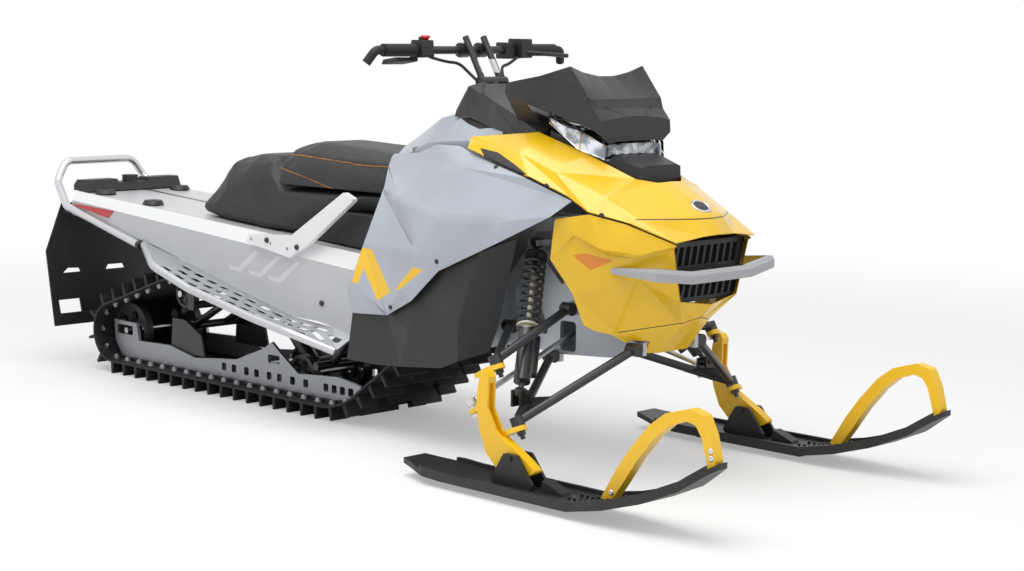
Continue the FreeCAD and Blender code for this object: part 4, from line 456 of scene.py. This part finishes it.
riser_coat = powder_coat("riser_coat", coat_black, 0.36)
face_low, face_high, face_rear, face_side = 1.002, 1.038, 0.30, 0.034
face_tone = (0.62, 0.63, 0.65)
face_reach = (riser_coat.x > face_rear) * (abs(riser_coat.y) < face_side)
riser_coat.marked(between(riser_coat.z, face_low, face_high) * face_reach, face_tone)
print("shafts are bare from", shaft_low, "to", shaft_high, "m")

# %% [markdown]
# ## A finish for every node
# The CAD record names a material for each node. A table turns that name into a finish, and a
# second table holds the nodes that look different from the rest of their material.

# %% Dress the nodes
finish_of_slot = {
    "body_grey": grey_paint, "yellow": yellow_paint, "black_plastic": black_moulding,
    "dark_plastic": satin_moulding, "rubber": track_rubber, "white_metal": white_coat,
    "silver": bright_metal, "casting": cast_alloy, "black_metal": black_coat,
    "yellow_metal": yellow_coat, "seat": seat_vinyl, "lens": clear_lens,
    "red_lens": red_reflector, "spring": spring_coat}
finish_of_node = {
    "nose": nose_paint, "tunnel": sheet, "slide_rails": rail_metal,
    "running_boards": board_metal, "grips": grip_rubber, "headlamps": chrome,
    "front_bumper": strip_metal, "windshield": shroud, "console": console,
    "shocks": shock_coat, "steering_post": riser_coat, "tank_cover": cover_paint,
    "seat_base": base_vinyl}
slot_of_node = {part["node"]: part["material_slot"] for part in frame["record"]["subparts"]}
for node, solid in nodes.items():
    finish = finish_of_node.setdefault(node, finish_of_slot[slot_of_node[node]])
    solid.data.materials.clear()
    solid.data.materials.append(finish.material)
print(len(set(finish_of_node.values())), "finishes on", len(nodes), "nodes")

# %% [markdown]
# ## Rounded panels
# A moulded panel has no knife edges: each crease is a radius of a few millimetres, and the light
# that runs along it is what the eye reads as plastic. The CAD mesh is loose triangles of a thin
# shell, and a Bevel wider than the wall would tear it. So only the outside faces of a merged copy
# are kept, each crease is rounded as far as its neighbours leave room, and the wall is put back.

# %% Work on copies of nodes
def finished_mesh(piece):
    """The piece with its modifiers applied, as a plain mesh."""
    bpy.context.view_layer.update()
    graph = bpy.context.evaluated_depsgraph_get()
    mesh = bpy.data.meshes.new_from_object(piece.evaluated_get(graph), depsgraph=graph,
                                           preserve_all_data_layers=True)
    piece.modifiers.clear()
    piece.data = mesh
    return piece


def add_piece(name, mesh, finish):
    piece = placed(name, mesh)
    mesh.materials.clear()
    mesh.materials.append(finish.material)
    return piece


def merged_copy(node, doubles=0.00002):
    """A copy of the node's mesh with its doubles merged, as a bmesh."""
    shape = bmesh.new()
    shape.from_mesh(nodes[node].data)
    bmesh.ops.remove_doubles(shape, verts=shape.verts, dist=doubles)
    return shape


def surface_of(node):
    """A search tree of the node's surface."""
    shape = merged_copy(node)
    tree = BVHTree.FromBMesh(shape)
    shape.free()
    return tree


def as_mesh(shape, name):
    mesh = bpy.data.meshes.new(name)
    shape.to_mesh(mesh)
    shape.free()
    return mesh


def join_flats(shape, degrees):
    """Joins the triangles of each flat face, and shades all faces smooth."""
    bmesh.ops.dissolve_limit(shape, angle_limit=math.radians(degrees), verts=shape.verts,
                             edges=shape.edges)
    for face in shape.faces:
        face.smooth = True


# %% Finish a piece
def modify(piece, name, kind, **settings):
    modifier = piece.modifiers.new(name, kind)
    for setting, value in settings.items():
        setattr(modifier, setting, value)


def keep_flats(piece):
    """Weighted normals keep the flat faces flat beside the rounded edges."""
    modify(piece, "flat faces", "WEIGHTED_NORMAL", keep_sharp=True)


def rides_for(piece, node):
    """Hides the node and gives the piece the node's body, so the piece takes the node's place."""
    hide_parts(node)
    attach(piece, nodes[node]["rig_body"])


# %% Find the outside of a shell
cowl_core = Vector((0.5, 0, 0.5))


def outside_only(shape, wall=0.012, lift=0.0001):
    """Drops the faces that have no wall close behind them, or that look at the cowl's core."""
    tree = BVHTree.FromBMesh(shape)
    dropped = []
    for face in shape.faces:
        middle = face.calc_center_median()
        behind = tree.ray_cast(middle - lift * face.normal, -face.normal, wall)[0]
        if behind is None or face.normal.dot(middle - cowl_core) <= 0:
            dropped.append(face)
    bmesh.ops.delete(shape, geom=dropped, context="FACES")


# %% Round the creases of a panel
def room_beside(edge, end, part=0.4):
    """How wide a crease may be rounded before it runs into the other edges at one end."""
    rooms = []
    along = edge.other_vert(end).co - end.co
    for other in end.link_edges:
        if other is not edge:
            run = other.other_vert(end).co - end.co
            turn = min(along.angle(run), math.pi / 2)
            rooms.append(part * min(along.length, run.length) * math.tan(turn / 2))
    return min(rooms, default=1.0)


def rounded_panel(node, radius, wall=0.0035, flat=0.6, crease=3.0, segments=3, stray=0.0025):
    """The outside of the node's shell with its creases rounded, thickened inwards again."""
    original = surface_of(node)
    shape = merged_copy(node)
    outside_only(shape)
    join_flats(shape, flat)
    weight = shape.edges.layers.float.new("bevel_weight_edge")
    creases = [edge for edge in shape.edges
               if len(edge.link_faces) == 2 and edge.calc_face_angle(0) > math.radians(crease)]
    for edge in creases:
        edge[weight] = min(radius, *(room_beside(edge, end) for end in edge.verts)) / radius
    piece = add_piece(node + "_skin", as_mesh(shape, node + "_skin"), finish_of_node[node])
    modify(piece, "rounding", "BEVEL", width=radius, segments=segments, limit_method="WEIGHT",
           use_clamp_overlap=False)
    finished_mesh(piece)
    strays = 0
    for vertex in piece.data.vertices:
        point, _, _, distance = original.find_nearest(vertex.co)
        if distance > stray:
            vertex.co = point
            strays += 1
    modify(piece, "wall", "SOLIDIFY", thickness=wall, offset=-1)
    keep_flats(piece)
    finished_mesh(piece)
    rides_for(piece, node)
    print(piece.name, len(creases), "creases,", strays, "points put back,",
          len(piece.data.polygons), "faces")


panel_radius = {"hood": 0.006, "nose": 0.006, "side_panels": 0.014, "lower_panels": 0.014}
for node, radius in panel_radius.items():
    rounded_panel(node, radius)

# %% [markdown]
# ## Castings, loops and skis
# Castings, moulded skis and bent tube have small radii all round. These nodes are full bodies, so
# an ordinary Bevel on every edge above an angle is enough, once their flat faces are joined.

# %% Round full bodies
def softened(node, radius, flat=0.4, sharpest=30.0, segments=2):
    """The node with the edges that are sharper than an angle rounded off."""
    shape = merged_copy(node)
    join_flats(shape, flat)
    for edge in shape.edges:
        edge.smooth = True
    piece = add_piece(node + "_soft", as_mesh(shape, node + "_soft"), finish_of_node[node])
    modify(piece, "rounding", "BEVEL", width=radius, segments=segments, limit_method="ANGLE",
           angle_limit=math.radians(sharpest), miter_outer="MITER_ARC")
    keep_flats(piece)
    finished_mesh(piece)
    rides_for(piece, node)
    print(piece.name, len(piece.data.polygons), "faces")


for side in ("left", "right"):
    for part, radius in (("spindle_", 0.0035), ("ski_loop_", 0.0045), ("ski_", 0.0025)):
        softened(part + side, radius)
sheet_radius = {"frame_braces": 0.002, "front_bumper": 0.003, "tail_housing": 0.003,
                "snow_flap": 0.002}
for node, radius in sheet_radius.items():
    softened(node, radius)

# %% [markdown]
# ## The saddle
# The saddle is two pieces of moulded foam under black vinyl. The foam presses the cover out, so
# the flats swell and the creases turn soft. A remeshed copy that starts a little small is blown up
# by cloth pressure, its foot is held, and no point may move far. The seams come after that.

# %% Blow up the cushions
def stuffed(node, voxel, cap=0.006, shrink=0.004, held_foot=0.02, steps=20, force=4.0):
    """A cushion blown up by cloth pressure inside the room of its node."""
    piece = add_piece(node + "_cover", as_mesh(merged_copy(node), node), finish_of_node[node])
    modify(piece, "smaller", "DISPLACE", strength=-shrink, mid_level=0)
    modify(piece, "even mesh", "REMESH", mode="VOXEL", voxel_size=voxel)
    modify(piece, "soft", "SMOOTH", factor=0.5, iterations=4)
    finished_mesh(piece)
    start = [vertex.co.copy() for vertex in piece.data.vertices]
    foot = min(point.z for point in start) + held_foot
    held = piece.vertex_groups.new(name="held")
    held.add([index for index, point in enumerate(start) if point.z < foot], 1.0, "REPLACE")
    cloth = piece.modifiers.new("stuffing", "CLOTH").settings
    cloth.use_pressure = True
    cloth.uniform_pressure_force = force
    cloth.effector_weights.gravity = 0
    cloth.vertex_group_mass = "held"
    for step in range(1, steps + 1):
        scene.frame_set(step)
    finished_mesh(piece)
    scene.frame_set(1)
    for vertex, point in zip(piece.data.vertices, start):
        move = vertex.co - point
        vertex.co = point + move * min(1.0, cap / max(move.length, 1e-9))
    modify(piece, "finer", "SUBSURF", levels=1, render_levels=1)
    finished_mesh(piece)
    piece.vertex_groups.clear()
    piece.data.shade_smooth()
    rides_for(piece, node)
    print(piece.name, len(piece.data.polygons), "faces")
    return piece


cushion = stuffed("seat_cushion", 0.008)
stuffed("seat_base", 0.010)

# %% [markdown]
# ## Closing two gaps
# A moulded apron closes the saddle's foot down to the deck, and a dark strip stands behind the
# seam of hood and nose. Both are plates with an outline seen from the side, so one function
# stretches an outline across the machine and rounds its edges.

# %% Add the apron and the liner
def plate_between(name, outline, half, finish=black_moulding, rounding=0.004):
    """A closed body from an outline of x and z, standing between two distances across."""
    shape = bmesh.new()
    sides = [[shape.verts.new((x, side, z)) for x, z in outline] for side in (-half, half)]
    shape.faces.new(sides[0])
    shape.faces.new(sides[1][::-1])
    for index in range(len(outline)):
        after = (index + 1) % len(outline)
        shape.faces.new((sides[0][after], sides[0][index], sides[1][index], sides[1][after]))
    bmesh.ops.recalc_face_normals(shape, faces=shape.faces)
    bmesh.ops.bevel(shape, geom=shape.edges[:], offset=rounding, segments=2, affect="EDGES")
    for face in shape.faces:
        face.smooth = True
    piece = add_piece(name, as_mesh(shape, name), finish)
    keep_flats(piece)
    finished_mesh(piece)
    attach(piece, "chassis")
    print(name, "is", 2 * half, "m wide")


apron_rear, apron_front, apron_lift = -0.30, 0.115, 0.002
apron_foot = [(x, height_along(deck_edge, x) + apron_lift) for x in (apron_rear, apron_front)]
plate_between("seat_apron", apron_foot + [(0.105, 0.60), (-0.10, 0.60), (-0.24, 0.535)], 0.147)
liner_outline = [(0.90, 0.603), (1.068, 0.603), (1.068, 0.628), (0.90, 0.652)]
plate_between("nose_liner", liner_outline, 0.165)

# %% [markdown]
# ## Many small things
# Stitches, guide clips, bolts and rivets repeat. One Geometry Nodes tree puts a pattern on every
# point of a mesh and turns it by two arrows stored on the points. Its result is made real at once,
# because the exported model drops instances.

# %% Build the copying tree
def copying_tree():
    tree = bpy.data.node_groups.new("copies", "GeometryNodeTree")
    sockets = (("Places", "Geometry"), ("Pattern", "Object"), ("Finish", "Material"),
               ("Unevenness", "Float"), ("Seed", "Int"))
    for label, kind in sockets:
        tree.interface.new_socket(label, in_out="INPUT", socket_type="NodeSocket" + kind)
    tree.interface.new_socket("Copies", in_out="OUTPUT", socket_type="NodeSocketGeometry")
    add, link = tree.nodes.new, tree.links.new
    inlet, outlet = add("NodeGroupInput"), add("NodeGroupOutput")

    def arrow(name, axis, pivot, turn=None):
        """A turn that brings an axis of the pattern onto the arrow stored on the point."""
        stored = add("GeometryNodeInputNamedAttribute")
        stored.data_type = "FLOAT_VECTOR"
        stored.inputs["Name"].default_value = name
        aligned = add("FunctionNodeAlignRotationToVector")
        aligned.axis, aligned.pivot_axis = axis, pivot
        link(stored.outputs["Attribute"], aligned.inputs["Vector"])
        if turn:
            link(turn, aligned.inputs["Rotation"])
        return aligned.outputs[0]

    turned = arrow("along", "X", "Z", arrow("out", "Z", "AUTO"))
    pattern = add("GeometryNodeObjectInfo")
    link(inlet.outputs["Pattern"], pattern.inputs["Object"])
    size = add("FunctionNodeRandomValue")
    for bound, sign in (("Min", "SUBTRACT"), ("Max", "ADD")):
        edge = add("ShaderNodeMath")
        edge.operation = sign
        edge.inputs[0].default_value = 1.0
        link(inlet.outputs["Unevenness"], edge.inputs[1])
        link(edge.outputs[0],
             next(one for one in size.inputs if one.name == bound and one.type == "VALUE"))
    link(inlet.outputs["Seed"], size.inputs["Seed"])
    copies = add("GeometryNodeInstanceOnPoints")
    link(inlet.outputs["Places"], copies.inputs["Points"])
    link(pattern.outputs["Geometry"], copies.inputs["Instance"])
    link(turned, copies.inputs["Rotation"])
    link(next(one for one in size.outputs if one.type == "VALUE" and one.enabled),
         copies.inputs["Scale"])
    real = add("GeometryNodeRealizeInstances")
    link(copies.outputs[0], real.inputs[0])
    dressed = add("GeometryNodeSetMaterial")
    link(real.outputs[0], dressed.inputs["Geometry"])
    link(inlet.outputs["Finish"], dressed.inputs["Material"])
    link(dressed.outputs[0], outlet.inputs[0])
    return tree


copies = copying_tree()
print("the copying tree has", len(copies.nodes), "nodes")

# %% Copy a pattern to places
def repeated(name, places, pattern, finish, body="chassis", unevenness=0.0):
    """One mesh of the pattern at every place: a point, its outward and its long arrow."""
    mesh = bpy.data.meshes.new(name)
    mesh.from_pydata([place[0] for place in places], [], [])
    for label, column in (("out", 1), ("along", 2)):
        layer = mesh.attributes.new(label, "FLOAT_VECTOR", "POINT")
        for index, place in enumerate(places):
            layer.data[index].vector = place[column]
    piece = placed(name, mesh)
    unit = placed(name + "_unit", pattern)
    modifier = piece.modifiers.new("copies", "NODES")
    modifier.node_group = copies
    values = {"Pattern": unit, "Finish": finish.material, "Unevenness": unevenness, "Seed": 7}
    for item in copies.interface.items_tree:
        if item.item_type == "SOCKET" and item.name in values:
            modifier[item.identifier] = values[item.name]
    finished_mesh(piece)
    bpy.data.objects.remove(unit)
    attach(piece, body)
    print(name, len(places), "copies,", len(piece.data.polygons), "faces")
    return piece


def mirrored(places):
    """The places and their mirror images across the middle of the machine."""
    flip = Matrix.Scale(-1, 3, (0, 1, 0))
    return places + [tuple(flip @ Vector(part) for part in place) for place in places]


# %% Patterns to copy
def turned_mesh(name, profile, sides=12):
    """A closed body turned round Z from pairs of radius and height; a nought radius is a pole."""
    points, rings, faces = [], [], []
    for radius, height in profile:
        if radius == 0:
            rings.append([len(points)])
            points.append((0, 0, height))
            continue
        rings.append(list(range(len(points), len(points) + sides)))
        turns = (2 * math.pi * step / sides for step in range(sides))
        points += [(radius * math.cos(turn), radius * math.sin(turn), height) for turn in turns]
    for low, high in zip(rings, rings[1:]):
        for step in range(sides):
            after = (step + 1) % sides
            corners = [low[step % len(low)], low[after % len(low)], high[after % len(high)],
                       high[step % len(high)]]
            faces.append(list(dict.fromkeys(corners)))
    mesh = bpy.data.meshes.new(name)
    mesh.from_pydata(points, [], faces)
    mesh.shade_smooth()
    return mesh


def pan_head(radius, height, socket=0.45):
    """A domed screw head with a round recess, its foot sunk a little."""
    shares = [(0, -0.2), (1, -0.2), (1, 0.45), (0.86, 0.85), (0.62, 1), (socket, 1),
              (socket, 0.5), (0, 0.5)]
    return [(radius * out, height * up) for out, up in shares]


def stitch_body(length, radius):
    """A short thread lying along X, domed at both ends."""
    shares = [(0, -0.5), (0.8, -0.42), (1, 0), (0.8, 0.42), (0, 0.5)]
    mesh = turned_mesh("stitch", [(radius * out, length * up) for out, up in shares], 6)
    mesh.transform(Matrix.Rotation(math.pi / 2, 4, "Y"))
    return mesh


# %% [markdown]
# ## Stitches
# Two rows of orange thread run along the cushion. The thread pulls the cover in, so a shallow
# groove is pressed along each row first. The rows are laid on the blown-up cover itself, and their
# points are evened out, because a cover's mesh is never quite smooth.

# %% Lay the rows and press the grooves
def stitches_along(piece, corners, pitch=0.0075, rounds=3):
    """Places along a line of corners, laid on the piece's surface."""
    tree = BVHTree.FromObject(piece, bpy.context.evaluated_depsgraph_get())
    places = []
    for start, end in zip(corners, corners[1:]):
        run = Vector(end) - Vector(start)
        for step in range(int(run.length / pitch)):
            spot = Vector(start) + run * (step * pitch / run.length)
            point, normal = tree.find_nearest(spot)[:2]
            places.append((point, normal, run.normalized()))
    for _ in range(rounds):
        even = [(before[0] + 2 * here[0] + after[0]) / 4
                for before, here, after in zip(places, places[1:], places[2:])]
        places[1:-1] = [(point, place[1], place[2]) for point, place in zip(even, places[1:-1])]
    return places


def pressed_seam(piece, places, width=0.007, depth=0.0022):
    """Sinks the surface along the places into a shallow groove."""
    flip = Vector((1, -1, 1))
    spots = [place[0] for place in places] + [place[0] * flip for place in places]
    runs = [(index, index, index + 1) for index in range(len(spots) - 1)]
    tree = BVHTree.FromPolygons(spots, runs)
    for vertex in piece.data.vertices:
        near = tree.find_nearest(vertex.co, width * 2)[3]
        if near is not None:
            vertex.co = vertex.co - vertex.normal * depth * math.exp(-(near / width) ** 2)


upper_seam = [(-0.385, -0.112, 0.752), (-0.267, -0.136, 0.752), (-0.164, -0.143, 0.748),
              (-0.028, -0.146, 0.739), (0.105, -0.146, 0.741)]
lower_seam = [(-0.388, -0.140, 0.709), (-0.242, -0.147, 0.684), (-0.139, -0.149, 0.659)]
seam_lines = (upper_seam, lower_seam)
bpy.context.view_layer.update()
for places in [stitches_along(cushion, line) for line in seam_lines]:
    pressed_seam(cushion, places)
print(len(seam_lines), "grooves on each side of the cushion")

# %% Sew the rows
bpy.context.view_layer.update()
thread_places = [place for line in seam_lines for place in stitches_along(cushion, line)]
repeated("seat_stitches", mirrored(thread_places), stitch_body(0.0066, 0.0010), stitch_thread,
         unevenness=0.08)

# %% [markdown]
# ## Screws, rivets and bolts
# Fasteners are small turned bodies. The console's screws and the frame's bolts have places of
# their own. Rays from outside find the rivets' places on the ski loops, and each panel screw goes
# to the panel nearest to the CAD rivet that it stands for.

# %% Screw the console
right, ahead = Vector((0, -1, 0)), Vector((1, 0, 0))
console_place, console_out = Vector((0.572, -0.100, 0.8935)), Vector((0.27, -0.47, 0.84))
repeated("console_screws", mirrored([(console_place, console_out, ahead)]),
         turned_mesh("screw", pan_head(0.008, 0.004)), black_coat)

# %% Rivet the loops to the skis
outside = 0.6
for side, toward in (("right", -1), ("left", 1)):
    loop_shape = merged_copy("ski_loop_" + side)
    loop = BVHTree.FromBMesh(loop_shape)
    front = max(vertex.co.x for vertex in loop_shape.verts)
    loop_shape.free()
    rivets = []
    for along, height in ((front - 0.010, 0.196), (front - 0.012, 0.212), (1.212, 0.070)):
        start = Vector((along, toward * outside, height))
        point, normal = loop.ray_cast(start, Vector((0, -toward, 0)))[:2]
        if point is not None:
            rivets.append((point, normal, ahead))
    repeated("loop_rivets_" + side, rivets, turned_mesh("rivet", pan_head(0.007, 0.004, 0.2)),
             bright_metal, "ski_" + side)


# %% Screw the panels and bolt the frame
def islands(shape):
    """The middle of each separate body in a bmesh."""
    left, middles = dict.fromkeys(shape.verts), []
    while left:
        body, reached = [], [left.popitem()[0]]
        while reached:
            vertex = reached.pop()
            body.append(vertex)
            for other in (edge.other_vert(vertex) for edge in vertex.link_edges):
                if other in left:
                    del left[other]
                    reached.append(other)
        middles.append(sum((vertex.co for vertex in body), Vector()) / len(body))
    return middles


panel_trees = [surface_of(node) for node in panel_radius]
panel_places = []
for middle in islands(merged_copy("panel_rivets")):
    reach_out = middle + Vector((0, math.copysign(0.02, middle.y), 0.01))
    found = (tree.find_nearest(reach_out) for tree in panel_trees)
    nearest = min(found, key=lambda result: result[3])
    panel_places.append((nearest[0], nearest[1], ahead))
screws = repeated("panel_screws", panel_places,
                  turned_mesh("panel_screw", pan_head(0.0065, 0.0035)), black_coat)
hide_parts("panel_rivets")

bolt_spots = ((-0.339, -0.2238, 0.505), (-0.204, -0.2238, 0.496), (-0.116, -0.2058, 0.343))
bolt_places = [(Vector(spot), right, ahead) for spot in bolt_spots]
repeated("frame_bolts", mirrored(bolt_places), turned_mesh("bolt", pan_head(0.0085, 0.006)),
         black_coat)

# %% [markdown]
# ## Guide clips
# Steel clips are pressed round the belt between its windows and keep it on the rails. They follow
# the belt, so rays from inside the loop find the belt's inner face, and the clips are spread along
# it at the pitch of the lugs.

# %% Clip the belt
def belt_line(across, middle=(-0.45, 0.22), rays=720):
    """Points of the belt's inner face round the loop, at one distance across."""
    tree = surface_of("track")
    centre = Vector((middle[0], across, middle[1]))
    line = []
    for step in range(rays):
        turn = 2 * math.pi * step / rays
        point, normal = tree.ray_cast(centre, Vector((math.cos(turn), 0, math.sin(turn))))[:2]
        if point is not None:
            line.append((point, normal))
    return line


def spread(line, pitch):
    """Places at an even pitch along a closed line of points and normals."""
    places, due = [], 0.0
    for (point, normal), (after, _) in zip(line, line[1:] + line[:1]):
        run = after - point
        while due < run.length:
            places.append((point + run * (due / run.length), normal, run.normalized()))
            due += pitch
        due -= run.length
    return places


def clip_body(half=0.011, wide=0.006, foot=0.0015, tall=0.013, rounding=0.0012):
    """A pressed clip: a saddle with a short horn."""
    shape = bmesh.new()
    bmesh.ops.create_cube(shape, size=1)
    for vertex in shape.verts:
        top = vertex.co.z > 0
        vertex.co.x *= 2 * half * (0.45 if top else 1)
        vertex.co.y *= 2 * wide * (0.7 if top else 1)
        vertex.co.z = tall if top else -foot
    bmesh.ops.bevel(shape, geom=shape.edges[:], offset=rounding, segments=1, affect="EDGES")
    return as_mesh(shape, "clip")


clip_across, lug_pitch = 0.158, 0.0628
clip_places = [place for side in (-clip_across, clip_across)
               for place in spread(belt_line(side), lug_pitch)]
repeated("guide_clips", clip_places, clip_body(), rail_metal)

# %% [markdown]
# ## The lamp's reflector
# Behind the clear cover stands a chrome reflector with upright ridges. It follows the cover at a
# small distance, so it is the cover's own outside, moved inwards and given a thin wall.

# %% Set the reflector behind the cover
def inner_shell(node, name, finish, wall=0.03, depth=0.012, thickness=0.0015):
    """The outside of a shell, drawn inwards, as a thin closed sheet."""
    shape = merged_copy(node)
    outside_only(shape, wall)
    piece = add_piece(name, as_mesh(shape, name), finish)
    modify(piece, "inward", "DISPLACE", strength=-depth, mid_level=0)
    modify(piece, "sheet", "SOLIDIFY", thickness=thickness, offset=-1)
    finished_mesh(piece)
    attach(piece, nodes[node]["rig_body"])
    print(name, len(piece.data.polygons), "faces")


inner_shell("headlamp_lens", "lamp_reflector", chrome)

# %% [markdown]
# ## Turned trim and two hoses
# A plain disc in a bright ring lies on the hood, and a red stop button sits on the bar. Both are
# turned from a profile. The disc takes its place and its tilt from a ray down onto the hood. The
# two hoses are splines through a few points, held at both ends, and they turn with the bar.

# %% Lay the disc on the hood and put the button on the bar
def turned_piece(name, profile, place, out, finish, body, sides=32):
    mesh = turned_mesh(name, profile, sides)
    tilt = Vector(out).to_track_quat("Z", "Y").to_matrix().to_4x4()
    mesh.transform(Matrix.Translation(place) @ tilt)
    piece = add_piece(name, mesh, finish)
    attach(piece, body)
    print(name, len(piece.data.polygons), "faces")


above_hood, down, up = Vector((1.078, 0, 1.2)), Vector((0, 0, -1)), (0, 0, 1)
disc_place, disc_out = surface_of("hood").ray_cast(above_hood, down)[:2]
ring_profile = [(0.019, 0), (0.026, -0.0005), (0.027, 0.0008), (0.024, 0.0022),
                (0.020, 0.0022), (0.019, 0)]
turned_piece("hood_disc_ring", ring_profile, disc_place, disc_out, bright_metal,
             "chassis")
disc_profile = [(0, -0.001), (0.0195, -0.001), (0.0195, 0.0014), (0.016, 0.0018), (0, 0.0018)]
turned_piece("hood_disc", disc_profile, disc_place, disc_out, satin_moulding,
             "chassis")
button_profile = [(0, -0.004), (0.009, -0.004), (0.009, 0.006), (0.0135, 0.007),
                  (0.0135, 0.012), (0.011, 0.014), (0, 0.0145)]
turned_piece("stop_button", button_profile, (0.276, -0.182, 1.0862), up, stop_red,
             "bars")

# %% Bend the hoses
def hose(name, points, radius=0.0042, finish=grip_rubber):
    """A bent hose with capped ends along a smooth spline of a few points."""
    curve = bpy.data.curves.new(name, "CURVE")
    curve.dimensions = "3D"
    spline = curve.splines.new("NURBS")
    spline.points.add(len(points) - 1)
    for control, point in zip(spline.points, points):
        control.co = (*point, 1)
    spline.order_u = 3
    spline.use_endpoint_u = True
    curve.bevel_depth = radius
    curve.bevel_resolution = 3
    curve.use_fill_caps = True
    piece = placed(name, curve)
    bpy.context.view_layer.update()
    evaluated = piece.evaluated_get(bpy.context.evaluated_depsgraph_get())
    mesh = bpy.data.meshes.new_from_object(evaluated)
    bpy.data.objects.remove(piece)
    mesh.shade_smooth()
    tube = add_piece(name, mesh, finish)
    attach(tube, "bars")
    print(name, len(mesh.polygons), "faces")


hose("throttle_hose", [(0.280, -0.172, 1.044), (0.300, -0.130, 1.030), (0.300, -0.080, 1.028),
                       (0.322, -0.062, 1.000), (0.345, -0.046, 0.975)])
hose("brake_hose", [(0.292, 0.150, 1.040), (0.300, 0.110, 1.022), (0.312, 0.070, 1.018),
                    (0.336, 0.052, 0.990), (0.352, 0.046, 0.970)])

# %% [markdown]
# ## The studio
# The photograph has a white surround and soft light from above. The world is an even pale dome,
# one wide lamp overhead gives the panels their gradients, and a second one fills from the front.
# The floor is white to the camera, yet it still takes the object's shadow.

# %% Light the stage
def soft_box(name, place, target, width, power):
    lamp = bpy.data.lights.new(name, "AREA")
    lamp.shape = "SQUARE"
    lamp.size = width
    lamp.energy = power
    holder = placed(name, lamp)
    holder.location = place
    aim = Vector(target) - Vector(place)
    holder.rotation_euler = aim.to_track_quat("-Z", "Y").to_euler()


def white_surround(strength, seen=1.0):
    """An even dome: camera, mirrors and glass see white, and matt surfaces a softer light."""
    world = bpy.data.worlds.new("studio")
    world.use_nodes = True
    scene.world = world
    tree = world.node_tree
    add, link = tree.nodes.new, tree.links.new
    ray = add("ShaderNodeLightPath")
    background = tree.nodes["Background"]
    background.inputs["Color"].default_value = (1, 1, 1, 1)
    socket = ray.outputs["Is Camera Ray"]
    for other in ("Is Glossy Ray", "Is Transmission Ray"):
        either = add("ShaderNodeMath")
        either.operation = "MAXIMUM"
        link(socket, either.inputs[0])
        link(ray.outputs[other], either.inputs[1])
        socket = either.outputs[0]
    level = add("ShaderNodeMapRange")
    level.inputs["To Min"].default_value = strength
    level.inputs["To Max"].default_value = seen
    link(socket, level.inputs["Value"])
    link(level.outputs[0], background.inputs["Strength"])


white_surround(strength=0.50)
soft_box("overhead", place=(0.2, -1.2, 4.4), target=(0, 0, 0.4), width=4.0, power=165)
soft_box("front_fill", place=(5.0, -1.5, 2.4), target=(0.6, 0, 0.4), width=2.5, power=25)
print(len(bpy.data.lights), "lamps")

# %% Lay the floor
reach, glow_near, glow_far, glow_least = 14.0, 1.6, 5.0, 0.35
floor = Finish("studio_floor", (0.93, 0.93, 0.93), 0.9)
white = {"Color": (1, 1, 1, 1), "Strength": 1.0}
glow = floor.node("ShaderNodeEmission", {}, white)
seen_by_camera = floor.node("ShaderNodeLightPath", outlet="Is Camera Ray")
squares = floor.x * floor.x + floor.y * floor.y
far = floor.smooth(squares.math("SQRT"), glow_near, glow_far)
share = seen_by_camera * (glow_least + (1 - glow_least) * far)
surface = Value(floor, floor.shader.outputs[0])
lit = floor.node("ShaderNodeMixShader", {}, {0: share, 1: surface, 2: glow})
output = floor.tree.nodes["Material Output"]
floor.tree.links.new(lit.socket, output.inputs["Surface"])

floor_mesh = bpy.data.meshes.new("floor")
floor_corners = [(-reach, -reach, 0), (reach, -reach, 0), (reach, reach, 0), (-reach, reach, 0)]
floor_mesh.from_pydata(floor_corners, [], [(0, 1, 2, 3)])
floor_piece = add_piece("floor", floor_mesh, floor)
print("the floor is", 2 * reach, "m wide")
